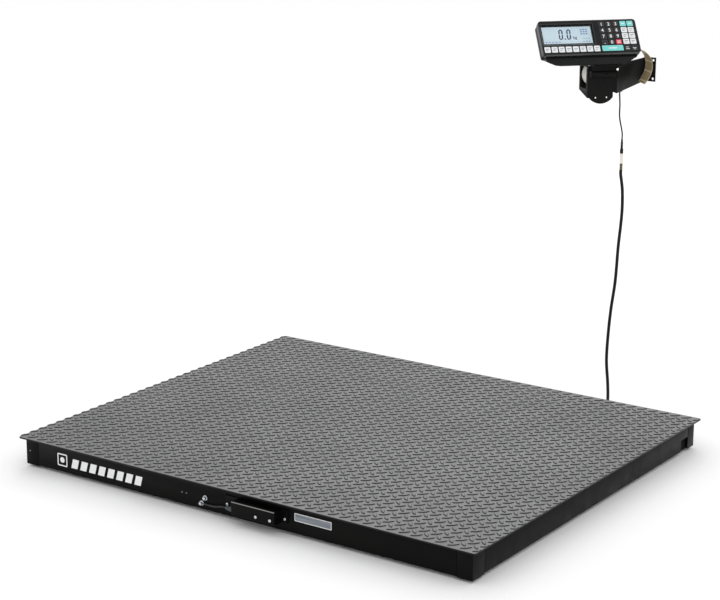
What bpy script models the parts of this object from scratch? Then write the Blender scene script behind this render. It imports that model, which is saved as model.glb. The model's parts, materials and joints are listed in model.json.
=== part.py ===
"""Platform shipping scale: a checker-plate floor platform on four load cells, and a wall bracket
that carries a tilting, label-printing weighing terminal. Metres, +Z up, +Y towards the wall.

Platform pieces are placed from the middle of the deck on the floor. Head pieces (terminal, label
roll, hinge) are placed in a turned frame: x to the operator's right, y away from the operator and
z up, with its origin on the bracket's bend line at the height of the tilt hinge.
"""
from math import cos, pi, radians, sin

import bmesh
import bpy
from mathutils import Matrix, Vector

# ---- clearances -------------------------------------------------------------------------------
GAP = 0.0003              # between two pieces that touch
RUN_GAP = 0.00015         # radial running clearance round a turning pin

# ---- platform ---------------------------------------------------------------------------------
DECK_LENGTH = 1.200       # along X
DECK_WIDTH = 1.000        # along Y
DECK_PLATE = 0.004
DECK_OVERHANG = 0.0115    # deck edge past the skirt
SKIRT_BOTTOM = 0.008      # clear height under the skirt
CHANNEL_SHEET = 0.003
CHANNEL_FLANGE = 0.025
POST_LEG_X = 0.0367       # corner post's leg on the front and rear faces
POST_LEG_FRONT = 0.046    # its leg on a side face, at the front corners
POST_LEG_REAR = 0.032     # and at the rear corners
POST_DROP = 0.0025        # the posts reach this much lower than the channels
NOTCH_LENGTH = 0.034      # foot access notch in a side channel, beside the rear post
NOTCH_HEIGHT = 0.027
BEAM_OFFSET = 0.280       # cross beams left and right of the middle
BEAM_WIDTH = 0.060
BEAM_HEIGHT = 0.040
BEAM_WALL = 0.003

# ---- load cells and feet ----------------------------------------------------------------------
FOOT_INSET = 0.075        # foot centre in from the skirt's faces
CELL_LENGTH = 0.130
CELL_SIDE = 0.030
CELL_END = 0.015          # from the foot's centre to the cell's outer end
CELL_BORE = 0.009         # radius of the relieving bore across the cell
MOUNT_LENGTH = 0.050
MOUNT_PLATE = 0.006
FOOT_PAD_RADIUS = 0.022
FOOT_PAD_HEIGHT = 0.010
FOOT_NUT_RADIUS = 0.010
FOOT_NUT_HEIGHT = 0.008
FOOT_STUD_RADIUS = 0.006
FOOT_LIFT = 0.0114        # clear height between a foot's nut and its load cell
STUD_SHORT = 0.0034       # the stud's end under the load cell's top
STUD_CLEARANCE = 0.0003

# ---- junction box, guard and the small parts on the front face ---------------------------------
BOX_LEFT = 0.024
BOX_LENGTH = 0.100
BOX_DEPTH = 0.055
BOX_BOTTOM = 0.017
BOX_HEIGHT = 0.036
BOX_WALL = 0.0025
GUARD_LEFT = 0.018
GUARD_RIGHT = 0.130
GUARD_BOTTOM = 0.0250
GUARD_TOP = 0.0545
GUARD_DEPTH = 0.028       # how far the guard stands out from the skirt
GUARD_SHEET = 0.002
GUARD_FLANGE_LEFT = 0.036
GUARD_FLANGE_RIGHT = 0.0150
WEB_WINDOW = 0.060        # opening in the front channel behind the guard
SCREW_RADIUS = 0.0036
SCREW_HEAD = 0.0028
GUARD_SCREWS = (0.083, 0.1195)     # along X, on the guard's face
FLANGE_SCREWS = (-0.0110, 0.1385)  # along X, on its two flanges
SCREW_HEIGHT = 0.0350
GLAND_RADIUS = 0.0056
GLAND_LENGTH = 0.026
GLAND_HEIGHT = 0.0310
GLAND_STANDOFF = 0.0130   # gland axis in front of the skirt
EARTH_BOLTS = ((-0.0715, 0.0350), (-0.0815, 0.0215))   # X and height of the two earth bolts
EARTH_WASHER_RADIUS = 0.0055
EARTH_BOLT_RADIUS = 0.0040
EARTH_BOLT_LENGTH = 0.0075
EARTH_LEAD_RADIUS = 0.0018
PLATE_LEFT = 0.1620
PLATE_LENGTH = 0.0932
PLATE_BOTTOM = 0.0357
PLATE_HEIGHT = 0.0177
PLATE_SHEET = 0.0008

# ---- cable through the rear of the platform -----------------------------------------------------
REAR_GLAND_X = 0.3390
REAR_GLAND_HEIGHT = 0.043
REAR_GLAND_RADIUS = 0.0090
REAR_GLAND_LENGTH = 0.020
CABLE_RADIUS = 0.0039
LEAD_RADIUS = 0.0018

# ---- wall bracket -------------------------------------------------------------------------------
WALL_GAP = 0.164          # wall face behind the deck's rear edge
HINGE_HEIGHT = 0.8475     # tilt axis above the floor
BEND_X = 0.3387           # the bracket's bend line, along X
ARM_LENGTH = 0.139        # from the bend line to the wall
HEAD_YAW = 48.0           # degrees the head is turned at the bend
BRACKET_SHEET = 0.0025
ARM_TOP = 0.0195          # heights on the bracket are measured from the tilt axis
ARM_BOTTOM_BEND = -0.0475
ARM_BOTTOM_WALL = -0.0355
FLANGE_WIDTH = 0.028
FLANGE_TOP = 0.0210
FLANGE_BOTTOM = -0.0355
FLANGE_HOLE_RADIUS = 0.0030
FLANGE_HOLE_INSET = 0.0065
FRONT_TOP = 0.0175
STEP_X = -0.0095
LOBE_X = -0.0385
LOBE_RISE = 0.0220        # centre of the front plate's round lobe above its left bottom corner
LOBE_RADIUS = 0.0363
LOBE_HOLES = (-0.0513, -0.0244)
LOBE_HOLE_RADIUS = 0.0020
RELIEF_CENTRE = (0.0035, 0.0073)   # relief slot at the bend, on the arm
RELIEF_LENGTH = 0.0120
RELIEF_HEIGHT = 0.0070

# ---- label roll and its housing -------------------------------------------------------------------
HOUSING_SHEET = 0.0020
CHEEK_SKIRT = 0.0085      # cheek's rear edge below the label roll
CHEEK_RAKE = 0.0120       # and its front edge below its rear edge
CHEEK_FRAME = 0.0070      # rim left round the cheek's window
ROLL_RADIUS = 0.0280
ROLL_SIDE_GAP = 0.0015    # roll to the cheek
ROLL_TOP_GAP = 0.0030     # roll to the terminal's belly
ROLL_FRONT_GAP = 0.0034   # roll to the housing's front edge
ROLL_BACK_GAP = 0.0028    # and to its back plate
ROLL_BEND_GAP = 0.0125    # roll to the bracket's bend line
ROLL_OVERWIDTH = 0.0020   # roll wider than the printed strip
CORE_RADIUS = 0.0095
CORE_WALL = 0.0020
SPINDLE_RADIUS = 0.0060

# ---- tilt hinge ------------------------------------------------------------------------------------
BARREL_RADIUS = 0.0070
BARREL_GAP = 0.0012       # barrel to the front plate's face
BARREL_LEFT = -0.0665
BARREL_RIGHT = -0.0065
PIN_RADIUS = 0.0030
LUG_WIDTH = 0.0025
LEAF_SHEET = 0.0024
CRADLE_FRONT = -0.0290
CRADLE_GAP = 0.0005       # cradle's shelf to the terminal's belly
CRADLE_REAR = 0.0020
CRADLE_RIGHT = 0.0040
KNOB_X = -0.0321
KNOB_RADIUS = 0.0026
KNOB_LENGTH = 0.0030

# ---- terminal ---------------------------------------------------------------------------------------
FACE_CENTRE = (-0.0780, -0.0200, 0.0873)
FACE_TILT = 52.5          # degrees the face leans up from level
FACE_WIDTH = 0.2330
FACE_HEIGHT = 0.0870
FACE_CORNER = 0.0070
COVER_DEPTH = 0.0120
CASE_DEPTH = 0.0280
CASE_WALL = 0.0025
BACK_INSET = 0.0010       # the back shell is this much smaller all round than the cover
BELLY_BOTTOM = 0.0235
BELLY_LEFT_INSET = 0.0085  # belly in from the face's left edge; its right side is flush
BELLY_REAR = 0.0500
BELLY_TURN_Y = 0.0000      # behind this the belly's left side turns in towards the back
BELLY_TURN_IN = 0.0165     # and by this much at the rear
BELLY_TOP = 0.0800
WINDOW_LEFT_MARGIN = 0.00105   # from the film's edges
WINDOW_TOP_MARGIN = 0.0080
WINDOW_WIDTH = 0.1245
WINDOW_HEIGHT = 0.0530
WINDOW_SHEET = 0.0020
WINDOW_CORNER = 0.0020
LCD_SIDE_INSET = 0.00175  # LCD module in from the window's edges
LCD_END_INSET = 0.0025
LCD_DEPTH = 0.0050
FILM_SIDE_INSET = 0.0017   # film in from the face's edges
FILM_END_INSET = 0.0020
FILM_SHEET = 0.0005
BOARD_SIDE_INSET = 0.0215
BOARD_END_INSET = 0.0135
BOARD_SHEET = 0.0016
BOARD_DEPTH = 0.0150      # board's face behind the terminal's face

# ---- printer, in the terminal's belly ----------------------------------------------------------------
PRINTER_LENGTH = 0.0440
PLATEN_INSET = 0.0130     # platen's axis in from the belly's right side
PLATEN_AHEAD = 0.0075     # and past the printer's block
PRINTER_BOTTOM = 0.0385
PRINTER_TOP = 0.0660
PLATEN_HEIGHT = 0.0530
PLATEN_RADIUS = 0.0050
PLATEN_SHAFT_RADIUS = 0.0015
PRINTER_PLATE = 0.0016
STRIP_FRONT = -0.0010
STRIP_WIDTH = 0.0440
STRIP_SHEET = 0.0004
STRIP_SLOT = 0.0040

# ---- lead from the terminal and its connector -----------------------------------------------------------
CLIP_X = -0.0080          # the lead's clip on the arm's far side, from the bend line
CLIP_Y = 0.030
CLIP_HEIGHT = -0.0400
CLIP_SIZE = 0.0080
CONNECTOR_TOP = 0.6910    # heights above the floor
CONNECTOR_MIDDLE = 0.6560
CONNECTOR_BOTTOM = 0.6170
CONNECTOR_RADIUS = 0.0044
CONNECTOR_X = 0.3411

# ---- derived ------------------------------------------------------------------------------------------
CELL_BOTTOM = FOOT_PAD_HEIGHT + FOOT_NUT_HEIGHT + FOOT_LIFT
CELL_TOP = CELL_BOTTOM + CELL_SIDE
SKIRT_TOP = CELL_TOP + GAP + MOUNT_PLATE
DECK_UNDER = SKIRT_TOP + GAP
DECK_TOP = DECK_UNDER + DECK_PLATE
FOOT_STUD_TOP = CELL_TOP - STUD_SHORT
SKIRT_X = DECK_LENGTH / 2 - DECK_OVERHANG
SKIRT_Y = DECK_WIDTH / 2 - DECK_OVERHANG
WALL_Y = DECK_WIDTH / 2 + WALL_GAP
FRONT_Y = -SKIRT_Y - GUARD_DEPTH - GAP - SCREW_HEAD
LEAD_Y = WALL_Y - ARM_LENGTH + CLIP_Y

ROLL_WIDTH = STRIP_WIDTH + ROLL_OVERWIDTH
HOUSING_FRONT = BRACKET_SHEET + GAP
ROLL_FRONT = HOUSING_FRONT + ROLL_FRONT_GAP
HOUSING_DEPTH = ROLL_FRONT + ROLL_WIDTH + ROLL_BACK_GAP + HOUSING_SHEET
FRONT_WIDTH = HOUSING_SHEET + ROLL_SIDE_GAP + 2 * ROLL_RADIUS + ROLL_BEND_GAP
ROLL_X = -ROLL_BEND_GAP - ROLL_RADIUS
ROLL_HEIGHT = BELLY_BOTTOM - ROLL_TOP_GAP - ROLL_RADIUS
CHEEK_BOTTOM_REAR = ROLL_HEIGHT - ROLL_RADIUS - CHEEK_SKIRT
CHEEK_BOTTOM_FRONT = CHEEK_BOTTOM_REAR - CHEEK_RAKE
LOBE_CENTRE = (LOBE_X, CHEEK_BOTTOM_FRONT + LOBE_RISE)
HINGE_Y = -BARREL_RADIUS - BARREL_GAP
LEAF_TOP = BELLY_BOTTOM - CRADLE_GAP

FACE_LEFT = FACE_CENTRE[0] - FACE_WIDTH / 2
FACE_RIGHT = FACE_CENTRE[0] + FACE_WIDTH / 2
BELLY_LEFT = FACE_LEFT + BELLY_LEFT_INSET
BELLY_RIGHT = FACE_RIGHT
FILM_WIDTH = FACE_WIDTH - 2 * FILM_SIDE_INSET
FILM_HEIGHT = FACE_HEIGHT - 2 * FILM_END_INSET
FILM_CORNER = FACE_CORNER - FILM_END_INSET
WINDOW_CENTRE = (WINDOW_WIDTH / 2 + WINDOW_LEFT_MARGIN - FILM_WIDTH / 2,
                 FILM_HEIGHT / 2 - WINDOW_TOP_MARGIN - WINDOW_HEIGHT / 2)
LCD_WIDTH = WINDOW_WIDTH - 2 * LCD_SIDE_INSET
LCD_HEIGHT = WINDOW_HEIGHT - 2 * LCD_END_INSET
BOARD_WIDTH = FACE_WIDTH - 2 * BOARD_SIDE_INSET
BOARD_HEIGHT = FACE_HEIGHT - 2 * BOARD_END_INSET
PLATEN_X = BELLY_RIGHT - PLATEN_INSET
PRINTER_RIGHT = PLATEN_X - PLATEN_AHEAD
PRINTER_LEFT = PRINTER_RIGHT - PRINTER_LENGTH

PLATFORM = Matrix.Translation((0.0, -(FRONT_Y + WALL_Y) / 2, 0.0))
HEAD = PLATFORM @ Matrix.Translation((BEND_X, WALL_Y - ARM_LENGTH, HINGE_HEIGHT))
HEAD = HEAD @ Matrix.Rotation(radians(HEAD_YAW), 4, "Z")
FACE = HEAD @ Matrix.Translation(FACE_CENTRE) @ Matrix.Rotation(radians(FACE_TILT), 4, "X")
CORNERS = {"front_left": (-1, -1), "front_right": (1, -1), "rear_left": (-1, 1), "rear_right": (1, 1)}

COLLECTION = "platform_shipping_scale"
CUTTERS = "cutters"


# ---- helpers ----------------------------------------------------------------------------------------
def clear_scene():
    for obj in list(bpy.data.objects):
        bpy.data.objects.remove(obj, do_unlink=True)


def collection(name):
    group = bpy.data.collections.new(name)
    bpy.context.scene.collection.children.link(group)
    return group


def paint(name, colour, roughness, metallic=0.0):
    """A Principled material from an sRGB colour given as a hex number."""
    parts = [((colour >> shift) & 255) / 255 for shift in (16, 8, 0)]
    linear = [c / 12.92 if c <= 0.04045 else ((c + 0.055) / 1.055) ** 2.4 for c in parts]
    mat = bpy.data.materials.new(name)
    mat.use_nodes = True
    shader = mat.node_tree.nodes["Principled BSDF"]
    shader.inputs["Base Color"].default_value = (*linear, 1.0)
    shader.inputs["Roughness"].default_value = roughness
    shader.inputs["Metallic"].default_value = metallic
    mat.diffuse_color = (*linear, 1.0)
    return mat


def add_mesh(name, bm, mat, place=None, smooth=False):
    """Write a bmesh to a new object, with its place kept in the object's matrix."""
    mesh = bpy.data.meshes.new(name)
    bm.to_mesh(mesh)
    bm.free()
    obj = bpy.data.objects.new(name, mesh)
    bpy.data.collections[COLLECTION].objects.link(obj)
    obj.matrix_world = place if place is not None else Matrix()
    if mat is not None:
        mesh.materials.append(mat)
    if smooth:
        mesh.shade_smooth()
        mesh.set_sharp_from_angle(angle=radians(35))
    return obj


def box(name, low, high, mat=None, place=None):
    """A box between two corners of the frame it is placed in."""
    low, high = Vector(low), Vector(high)
    bm = bmesh.new()
    bmesh.ops.create_cube(bm, size=1.0)
    bmesh.ops.scale(bm, vec=high - low, verts=bm.verts)
    bmesh.ops.translate(bm, vec=(low + high) / 2, verts=bm.verts)
    return add_mesh(name, bm, mat, place)


def cylinder(name, radius, start, end, mat=None, place=None, sides=32):
    """A round bar between two points of the frame it is placed in."""
    start, end = Vector(start), Vector(end)
    turn = Vector((0, 0, 1)).rotation_difference(end - start).to_matrix().to_4x4()
    bm = bmesh.new()
    bmesh.ops.create_cone(bm, cap_ends=True, segments=sides, radius1=radius, radius2=radius,
                          depth=(end - start).length,
                          matrix=Matrix.Translation((start + end) / 2) @ turn)
    return add_mesh(name, bm, mat, place, smooth=True)


def turned(name, profile, mat, place, sides=32):
    """A solid of revolution about its frame's Z, from (radius, height) points, top to bottom."""
    bm = bmesh.new()
    verts = [bm.verts.new((radius, 0.0, height)) for radius, height in profile]
    for first, second in zip(verts, verts[1:]):
        bm.edges.new((first, second))
    obj = add_mesh(name, bm, mat, place)
    spin = obj.modifiers.new("turn", "SCREW")
    spin.steps = sides
    spin.render_steps = sides
    spin.use_merge_vertices = True
    spin.merge_threshold = 0.00001
    spin.use_smooth_shade = False
    return obj


def to_mesh(obj):
    """Swap a curve or an object with modifiers for a welded mesh of the same name and place."""
    depsgraph = bpy.context.evaluated_depsgraph_get()
    mesh = bpy.data.meshes.new_from_object(obj.evaluated_get(depsgraph))
    name, place = obj.name, obj.matrix_world.copy()
    bpy.data.objects.remove(obj, do_unlink=True)
    bm = bmesh.new()
    bm.from_mesh(mesh)
    bmesh.ops.remove_doubles(bm, verts=bm.verts, dist=0.000001)
    bmesh.ops.recalc_face_normals(bm, faces=bm.faces)
    if bm.calc_volume(signed=True) < 0:
        bmesh.ops.reverse_faces(bm, faces=bm.faces)
    mat = mesh.materials[0] if len(mesh.materials) else None
    solid = add_mesh(name, bm, mat, place)
    solid.name = name
    return solid


def slab(name, loops, thickness, place, mat=None):
    """A flat outline with holes, in the frame's XY, with its thickness both ways along Z."""
    curve = bpy.data.curves.new(name, "CURVE")
    curve.dimensions = "2D"
    curve.fill_mode = "BOTH"
    curve.extrude = thickness / 2
    for loop in loops:
        spline = curve.splines.new("POLY")
        spline.points.add(len(loop) - 1)
        for point, (x, y) in zip(spline.points, loop):
            point.co = (x, y, 0.0, 1.0)
        spline.use_cyclic_u = True
    if mat is not None:
        curve.materials.append(mat)
    obj = bpy.data.objects.new(name, curve)
    bpy.data.collections[COLLECTION].objects.link(obj)
    obj.matrix_world = place
    bpy.context.view_layer.update()
    return to_mesh(obj)


def smooth_route(points, spacing):
    """Points about one spacing apart on a Catmull-Rom curve through the route's points."""
    route = [Vector(p) for p in points]
    padded = [2 * route[0] - route[1], *route, 2 * route[-1] - route[-2]]
    line = []
    for a, b, c, d in zip(padded, padded[1:], padded[2:], padded[3:]):
        steps = max(1, round((c - b).length / spacing))
        for step in range(steps):
            t = step / steps
            line.append(0.5 * (2 * b + (c - a) * t + (2 * a - 5 * b + 4 * c - d) * t ** 2
                               + (3 * b - a - 3 * c + d) * t ** 3))
    line.append(route[-1])
    return line


def tube(name, points, radius, mat, place):
    """A round lead along a smooth curve through the route's points."""
    line = smooth_route(points, 5 * radius)
    curve = bpy.data.curves.new(name, "CURVE")
    curve.dimensions = "3D"
    curve.bevel_depth = radius
    curve.bevel_resolution = 2
    curve.use_fill_caps = True
    spline = curve.splines.new("POLY")
    spline.points.add(len(line) - 1)
    for point, place_on_line in zip(spline.points, line):
        point.co = (*place_on_line, 1.0)
    curve.materials.append(mat)
    obj = bpy.data.objects.new(name, curve)
    bpy.data.collections[COLLECTION].objects.link(obj)
    obj.matrix_world = place
    bpy.context.view_layer.update()
    return obj


def arc(centre, radius, start, end, steps):
    """Points of an arc, in degrees from the frame's x axis."""
    angles = [radians(start + (end - start) * step / steps) for step in range(steps + 1)]
    return [(centre[0] + radius * cos(a), centre[1] + radius * sin(a)) for a in angles]


def rounded_rectangle(width, height, corner, centre=(0.0, 0.0), steps=6):
    x, y = width / 2 - corner, height / 2 - corner
    points = []
    for quarter, (sx, sy) in enumerate(((1, 1), (-1, 1), (-1, -1), (1, -1))):
        middle = (centre[0] + sx * x, centre[1] + sy * y)
        points += arc(middle, corner, 90 * quarter, 90 * quarter + 90, steps)
    return points


def circle(centre, radius, sides=24):
    return arc(centre, radius, 0, 360, sides)[:-1]


def boolean(target, tool, operation):
    """Cut with, join to or keep what is shared with another closed solid, which becomes a cutter."""
    target_modifier = target.modifiers.new(operation.lower(), "BOOLEAN")
    target_modifier.operation = operation
    target_modifier.solver = "EXACT"
    target_modifier.object = tool
    bpy.data.collections[COLLECTION].objects.unlink(tool)
    bpy.data.collections[CUTTERS].objects.link(tool)
    tool.hide_render = True
    tool.display_type = "WIRE"
    return target


def cut(target, tool):
    return boolean(target, tool, "DIFFERENCE")


def join(target, tool):
    return boolean(target, tool, "UNION")


def keep_shared(target, tool):
    return boolean(target, tool, "INTERSECT")


def columns(x, y, z, origin):
    """The frame with these three axes and this origin."""
    turn = Matrix((x, y, z)).transposed().to_4x4()
    return Matrix.Translation(origin) @ turn


# ---- materials --------------------------------------------------------------------------------------
def make_materials():
    return {
        "deck": paint("deck_grey_enamel", 0x8F8F8F, 0.45, 0.3),
        "frame": paint("black_powder_coat", 0x1C1C1A, 0.45),
        "steel": paint("zinc_plated_steel", 0xC4C6C8, 0.25, 1.0),
        "alloy": paint("load_cell_steel", 0x9FA3A6, 0.35, 1.0),
        "rubber": paint("foot_rubber", 0x242424, 0.8),
        "abs": paint("terminal_abs", 0x232426, 0.5),
        "grey": paint("grey_nylon", 0x5A5C5E, 0.55),
        "plate": paint("rating_plate_aluminium", 0xB9BCC0, 0.35, 0.9),
        "paper": paint("label_paper", 0xE9E6E0, 0.8),
        "liner": paint("label_liner", 0xA89B7C, 0.5),
        "card": paint("core_card", 0xA8865C, 0.85),
        "glass": paint("display_window", 0x1A2026, 0.1),
        "lcd": paint("lcd_panel", 0xC5DBE6, 0.35),
        "film": paint("keypad_film", 0x26272A, 0.4),
        "board": paint("circuit_board", 0x1F5A36, 0.5),
        "lead": paint("lead_jacket", 0x2A2A2C, 0.55),
        "cable": paint("cable_sheath", 0x151516, 0.5),
        "brass": paint("nickel_brass", 0xB9AE98, 0.3, 1.0),
    }


# ---- platform ---------------------------------------------------------------------------------------
def build_deck(mats):
    half_x, half_y = DECK_LENGTH / 2, DECK_WIDTH / 2
    box("deck_plate", (-half_x, -half_y, DECK_UNDER), (half_x, half_y, DECK_TOP), mats["deck"], PLATFORM)


def channel(name, inward, reach, start, end, mat):
    """A C channel whose web is on the skirt's face, with its flanges pointing inward."""
    inward = Vector(inward)
    up = Vector((0, 0, 1))
    along = inward.cross(up)
    height = SKIRT_TOP - SKIRT_BOTTOM
    outline = [(0, 0), (CHANNEL_FLANGE, 0), (CHANNEL_FLANGE, CHANNEL_SHEET), (CHANNEL_SHEET, CHANNEL_SHEET),
               (CHANNEL_SHEET, height - CHANNEL_SHEET), (CHANNEL_FLANGE, height - CHANNEL_SHEET),
               (CHANNEL_FLANGE, height), (0, height)]
    origin = -inward * reach + up * SKIRT_BOTTOM + along * (start + end) / 2
    return slab(name, [outline], end - start, PLATFORM @ columns(inward, up, along, origin), mat)


def build_channels(mats):
    span_x = SKIRT_X - POST_LEG_X - GAP
    front = channel("front_channel", (0, 1, 0), SKIRT_Y, -span_x, span_x, mats["frame"])
    middle = BOX_LEFT + BOX_LENGTH / 2
    web_bottom, web_top = BOX_BOTTOM + 2 * BOX_WALL, BOX_BOTTOM + BOX_HEIGHT - 2 * BOX_WALL
    cut(front, box("cut_web", (middle - WEB_WINDOW / 2, -SKIRT_Y - CHANNEL_SHEET, web_bottom),
                   (middle + WEB_WINDOW / 2, -SKIRT_Y + 2 * CHANNEL_SHEET, web_top), None, PLATFORM))
    channel("rear_channel", (0, -1, 0), SKIRT_Y, -span_x, span_x, mats["frame"])
    y_front = -SKIRT_Y + POST_LEG_FRONT + GAP
    y_rear = SKIRT_Y - POST_LEG_REAR - GAP
    left = channel("left_channel", (1, 0, 0), SKIRT_X, -y_rear, -y_front, mats["frame"])
    right = channel("right_channel", (-1, 0, 0), SKIRT_X, y_front, y_rear, mats["frame"])
    for side, obj, name in ((-1, left, "cut_notch_left"), (1, right, "cut_notch_right")):
        near, far = SKIRT_X - 2 * CHANNEL_FLANGE, SKIRT_X + CHANNEL_SHEET
        low = (min(side * near, side * far), y_rear - NOTCH_LENGTH, 0.0)
        high = (max(side * near, side * far), y_rear + NOTCH_LENGTH, SKIRT_BOTTOM + NOTCH_HEIGHT)
        cut(obj, box(name, low, high, None, PLATFORM))


def build_corner_posts(mats):
    bottom = SKIRT_BOTTOM - POST_DROP
    for name, (sx, sy) in CORNERS.items():
        leg_y = POST_LEG_FRONT if sy < 0 else POST_LEG_REAR
        outline = [(0, 0), (POST_LEG_X, 0), (POST_LEG_X, CHANNEL_SHEET), (CHANNEL_SHEET, CHANNEL_SHEET),
                   (CHANNEL_SHEET, leg_y), (0, leg_y)]
        points = [(sx * (SKIRT_X - x), sy * (SKIRT_Y - y)) for x, y in outline]
        place = PLATFORM @ Matrix.Translation((0, 0, (bottom + SKIRT_TOP) / 2))
        slab("corner_post_" + name, [points], SKIRT_TOP - bottom, place, mats["frame"])


def build_beams(mats):
    reach = SKIRT_Y - CHANNEL_FLANGE - GAP
    top = SKIRT_TOP
    outer = [(-BEAM_WIDTH / 2, -BEAM_HEIGHT), (BEAM_WIDTH / 2, -BEAM_HEIGHT),
             (BEAM_WIDTH / 2, 0), (-BEAM_WIDTH / 2, 0)]
    inner_x = BEAM_WIDTH / 2 - BEAM_WALL
    inner = [(-inner_x, BEAM_WALL - BEAM_HEIGHT), (inner_x, BEAM_WALL - BEAM_HEIGHT),
             (inner_x, -BEAM_WALL), (-inner_x, -BEAM_WALL)]
    for name, x in (("cross_beam_left", -BEAM_OFFSET), ("cross_beam_right", BEAM_OFFSET)):
        place = PLATFORM @ columns((1, 0, 0), (0, 0, 1), (0, -1, 0), (x, 0, top))
        slab(name, [outer, inner], 2 * reach, place, mats["frame"])


def build_cells_and_feet(mats):
    for name, (sx, sy) in CORNERS.items():
        place = PLATFORM @ Matrix.Translation((sx * (SKIRT_X - FOOT_INSET), sy * (SKIRT_Y - FOOT_INSET), 0))
        inner_end = -sx * (CELL_LENGTH - CELL_END)
        mount_end = -sx * (CELL_LENGTH - CELL_END - MOUNT_LENGTH)
        low_x, high_x = sorted((inner_end, mount_end))
        box("cell_mount_" + name, (low_x, -CELL_SIDE / 2, CELL_TOP + GAP),
            (high_x, CELL_SIDE / 2, SKIRT_TOP), mats["frame"], place)
        low_x, high_x = sorted((inner_end, sx * CELL_END))
        cell = box("load_cell_" + name, (low_x, -CELL_SIDE / 2, CELL_BOTTOM),
                   (high_x, CELL_SIDE / 2, CELL_TOP), mats["alloy"], place)
        cut(cell, cylinder("cut_stud_" + name, FOOT_STUD_RADIUS + STUD_CLEARANCE,
                           (0, 0, 0), (0, 0, 2 * CELL_TOP), None, place))
        middle = (inner_end + sx * CELL_END) / 2
        level = (CELL_BOTTOM + CELL_TOP) / 2
        cut(cell, cylinder("cut_cell_" + name, CELL_BORE, (middle, -CELL_SIDE, level),
                           (middle, CELL_SIDE, level), None, place))
        nut_top = FOOT_PAD_HEIGHT + FOOT_NUT_HEIGHT
        turned("levelling_foot_" + name,
               [(0, FOOT_STUD_TOP), (FOOT_STUD_RADIUS, FOOT_STUD_TOP), (FOOT_STUD_RADIUS, nut_top),
                (FOOT_NUT_RADIUS, nut_top), (FOOT_NUT_RADIUS, FOOT_PAD_HEIGHT),
                (FOOT_PAD_RADIUS * 0.8, FOOT_PAD_HEIGHT), (FOOT_PAD_RADIUS, FOOT_PAD_HEIGHT * 0.6),
                (FOOT_PAD_RADIUS, 0), (0, 0)], mats["rubber"], place, sides=32)


def build_junction_box(mats):
    back = -SKIRT_Y + CHANNEL_SHEET + GAP
    low = Vector((BOX_LEFT, back, BOX_BOTTOM))
    high = Vector((BOX_LEFT + BOX_LENGTH, back + BOX_DEPTH, BOX_BOTTOM + BOX_HEIGHT))
    tub = box("junction_box", low, high, mats["plate"], PLATFORM)
    wall = Vector((BOX_WALL,) * 3)
    cut(tub, box("cut_tub", low + wall, high + Vector((-BOX_WALL, -BOX_WALL, BOX_WALL)), None, PLATFORM))
    lid_low = Vector((low.x, low.y, high.z + GAP))
    box("junction_lid", lid_low, (high.x, high.y, high.z + GAP + BOX_WALL), mats["plate"], PLATFORM)


def build_guard(mats):
    face = -SKIRT_Y - GAP
    front = face - GUARD_DEPTH + GAP
    guard = box("junction_guard", (GUARD_LEFT, front, GUARD_BOTTOM), (GUARD_RIGHT, face, GUARD_TOP),
                mats["frame"], PLATFORM)
    for name, left, right in (("join_flange_left", GUARD_LEFT - GUARD_FLANGE_LEFT, GUARD_LEFT + GUARD_SHEET),
                              ("join_flange_right", GUARD_RIGHT - GUARD_SHEET,
                               GUARD_RIGHT + GUARD_FLANGE_RIGHT)):
        join(guard, box(name, (left, face - GUARD_SHEET, GUARD_BOTTOM), (right, face, GUARD_TOP),
                        None, PLATFORM))
    cut(guard, box("cut_guard", (GUARD_LEFT + GUARD_SHEET, front + GUARD_SHEET, GUARD_BOTTOM - GUARD_SHEET),
                   (GUARD_RIGHT - GUARD_SHEET, face + GUARD_SHEET, GUARD_TOP - GUARD_SHEET), None, PLATFORM))
    guard_front = Matrix.Rotation(radians(90), 4, "X")
    for index, x in enumerate(GUARD_SCREWS, start=1):
        place = PLATFORM @ Matrix.Translation((x, front - GAP, SCREW_HEIGHT)) @ guard_front
        screw("guard_screw_%d" % index, place, mats)
    for name, x in zip(("flange_screw_left", "flange_screw_right"), FLANGE_SCREWS):
        place = PLATFORM @ Matrix.Translation((x, face - GUARD_SHEET - GAP, SCREW_HEIGHT)) @ guard_front
        screw(name, place, mats)


def screw(name, place, mats):
    """A button-head screw, seated on the frame's XY."""
    turned(name, [(0, SCREW_HEAD), (SCREW_RADIUS * 0.6, SCREW_HEAD * 0.9), (SCREW_RADIUS, SCREW_HEAD * 0.3),
                  (SCREW_RADIUS, 0), (0, 0)], mats["steel"], place, sides=20)


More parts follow.
